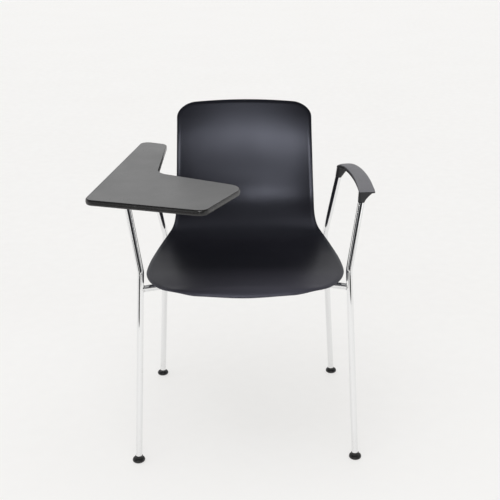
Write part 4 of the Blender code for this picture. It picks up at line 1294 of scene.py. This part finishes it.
def make_swivel_plate(coated, zinc):
    """The plate under the board and the four screws that hold it."""
    half = Vector(SWIVEL_PLATE_SIZE) / 2
    middle = PIVOT + Vector(SWIVEL_PLATE_SHIFT)
    outline = rectangle(*zip(middle - half, middle + half), SWIVEL_PLATE_CORNER)
    shape = plate(outline, SWIVEL_PLATE_BOTTOM, SWIVEL_PLATE_TOP, SHEET_EDGE)
    add_part("coated_swivel_plate", shape, coated, TABLET_BODY, "black_steel", "swivel_plate")
    half_x, half_y = [size - BOARD_SCREW_INSET for size in half]
    places = [middle + Vector((x, y)) for x in (-half_x, half_x) for y in (-half_y, half_y)]
    bottom = SWIVEL_PLATE_BOTTOM + BOARD_SCREW_RECESS
    head = (BOARD_SCREW_HEAD_RADIUS, bottom, bottom + BOARD_SCREW_HEAD_HEIGHT)
    shank = (BOARD_SCREW_RADIUS, SWIVEL_PLATE_TOP + BOARD_SCREW_LENGTH)
    for number, place in enumerate(places, 1):
        name = f"board_socket_screw_{number}"
        shape = socket_screw(place, *head, *shank, BOARD_SCREW_SOCKET)
        add_part(name, shape, zinc, TABLET_BODY, "zinc_steel", f"board_screw_{number}")


def make_pivot(zinc):
    """The bolt's end and its hexagon lock nut, under the carrier."""
    high = CARRIER_BOTTOM - GAP
    low = high - PIVOT_NUT_HEIGHT
    foot = low + NUT_COLLAR_HEIGHT
    narrow = PIVOT_NUT_RADIUS - NUT_CHAMFER
    profile = (
        (narrow, foot),
        (PIVOT_NUT_RADIUS, foot + NUT_CHAMFER),
        (PIVOT_NUT_RADIUS, high - NUT_CHAMFER),
        (narrow, high),
    )
    body = skin([socket_ring(PIVOT, radius, height, ROUND_SIDES) for radius, height in profile])
    collar = turned([(radius, low + height) for radius, height in NUT_COLLAR_PROFILE], PIVOT)
    add_part("hexagon_lock_nut", together(body, collar), zinc, TABLET_BODY, "zinc_steel", "pivot_nut")
    tip = low - BOLT_TIP_LENGTH
    profile = [(PIVOT_BOLT_RADIUS - BOLT_TIP_CHAMFER, tip)]
    for turn in range(THREAD_TURNS):
        height = tip + BOLT_TIP_HEIGHT + turn * THREAD_PITCH
        profile.append((PIVOT_BOLT_RADIUS, height))
        profile.append((PIVOT_BOLT_RADIUS - THREAD_DEPTH, height + THREAD_PITCH / 2))
    profile.append((PIVOT_BOLT_RADIUS, SWIVEL_PLATE_TOP + GAP))
    profile += [(radius, SWIVEL_PLATE_TOP + height) for radius, height in BOLT_HEAD_PROFILE]
    add_part("threaded_pivot_bolt", turned(profile, PIVOT), zinc, TABLET_BODY, "zinc_steel", "pivot_bolt")


def make_tablet(coated, weld, rubber, zinc, nylon, laminate, edge):
    arm, spacing = arm_matrix()
    make_arm_bar(arm, spacing, coated, weld)
    make_rest_pads(arm, rubber)
    make_hinge_pin(arm, zinc)
    make_carrier(arm, coated)
    make_washer(nylon)
    make_board(laminate, edge)
    make_swivel_plate(coated, zinc)
    make_pivot(zinc)


# Studio

def flat_mesh(name, corners, material):
    mesh = bpy.data.meshes.new(name)
    mesh.from_pydata(corners, [], [range(len(corners))])
    mesh.materials.append(material)
    return mesh


def make_floor():
    (x0, x1), (y0, y1) = FLOOR_X, FLOOR_Y
    corners = [(x0, y0, 0), (x1, y0, 0), (x1, y1, 0), (x0, y1, 0)]
    floor = add_object("floor", flat_mesh("floor", corners, floor_material()))


def area_light(name, place, aim, size, radiance):
    """A soft panel that the camera doesn't see. Its power follows from its size and brightness."""
    lamp = bpy.data.lights.new(name, "AREA")
    lamp.shape = "RECTANGLE"
    lamp.size, lamp.size_y = size
    lamp.energy = radiance * math.pi * size[0] * size[1]
    thing = add_object(name, lamp)
    thing.location = place
    thing.rotation_euler = (Vector(aim) - Vector(place)).to_track_quat("-Z", "Y").to_euler()
    thing.visible_camera = False


def make_world():
    """A white backdrop behind the chair in an otherwise dim studio. The camera sees it as all pale."""
    world = bpy.data.worlds.new("studio")
    bpy.context.scene.world = world
    world.use_nodes = True
    tree = world.node_tree
    background = tree.nodes["Background"]
    sky = node(tree, "ShaderNodeTexCoord").outputs["Generated"]
    behind = ranged(coordinate(sky, "Y"), BACKDROP_SIDE)
    up = coordinate(sky, "Z")
    fade = times(ranged(up, BACKDROP_DIMS, (1.0, BACKDROP_DIMMED)), ranged(up, BACKDROP_ENDS, (1.0, 0.0)))
    lit = mixed(times(behind, fade), colour(ROOM_GLOW, (1.0, 1.03, 1.12)), colour(BACKDROP_GLOW))
    seen = node(tree, "ShaderNodeLightPath").outputs["Is Camera Ray"]
    tree.links.new(mixed(seen, lit, (*BACKDROP, 1.0)), background.inputs["Color"])
    background.inputs["Strength"].default_value = 1.0


def make_flag(name, leg_x, heading, near):
    """A black card on the floor, a wedge that points at a front leg. It shows only in reflections."""
    leg = Vector((leg_x, FLAG_LEG_Y, FLAG_HEIGHT)) + SHIFT
    ahead = Vector((math.sin(heading), -math.cos(heading), 0.0))
    across = Vector((ahead.y, -ahead.x, 0.0)) * math.tan(FLAG_SPREAD)
    ends = ((near, 1), (near, -1), (FLAG_REACH, -1), (FLAG_REACH, 1))
    corners = [leg + reach * (ahead + side * across) for reach, side in ends]
    flag = add_object(name, flat_mesh(name, corners, rubber_material()))
    flag.visible_camera = False
    flag.visible_diffuse = False
    flag.visible_transmission = False
    flag.visible_shadow = False


def make_lights():
    """Two softboxes over the camera, a panel on each side and soft overhead light."""
    for light in LIGHTS:
        area_light(*light)
    sun = bpy.data.lights.new("overhead", "SUN")
    sun.energy = OVERHEAD
    sun.angle = OVERHEAD_ANGLE
    thing = add_object("overhead", sun)
    thing.rotation_euler = OVERHEAD_TURN
    thing.visible_glossy = False


def make_camera():
    camera = bpy.data.cameras.new("camera")
    camera.lens = CAMERA_LENS
    camera.sensor_width = SENSOR_WIDTH
    camera.shift_x, camera.shift_y = CAMERA_SHIFT
    thing = add_object("camera", camera)
    thing.location = CAMERA_PLACE + SHIFT
    level = math.cos(CAMERA_PITCH)
    forward = Vector((math.sin(CAMERA_YAW) * level, math.cos(CAMERA_YAW) * level, -math.sin(CAMERA_PITCH)))
    thing.rotation_euler = forward.to_track_quat("-Z", "Y").to_euler()
    bpy.context.scene.camera = thing


def main():
    chrome = chrome_material()
    weld = weld_material()
    nylon = glide_material()
    coated = coated_steel_material()
    zinc = zinc_material()
    shell_plastic = shell_material()
    make_frame(chrome, weld, nylon)
    make_rails(coated, weld)
    make_shell_screws(zinc)
    make_shell(shell_plastic)
    make_bosses(shell_plastic)
    make_armrest(armrest_material())
    make_tablet(coated, weld, rubber_material(), zinc, nylon, laminate_material(), edge_band_material())
    make_floor()
    for flag in FLAGS:
        make_flag(*flag)
    make_world()
    make_lights()
    make_camera()
    bpy.context.scene.view_settings.view_transform = "Standard"


main()
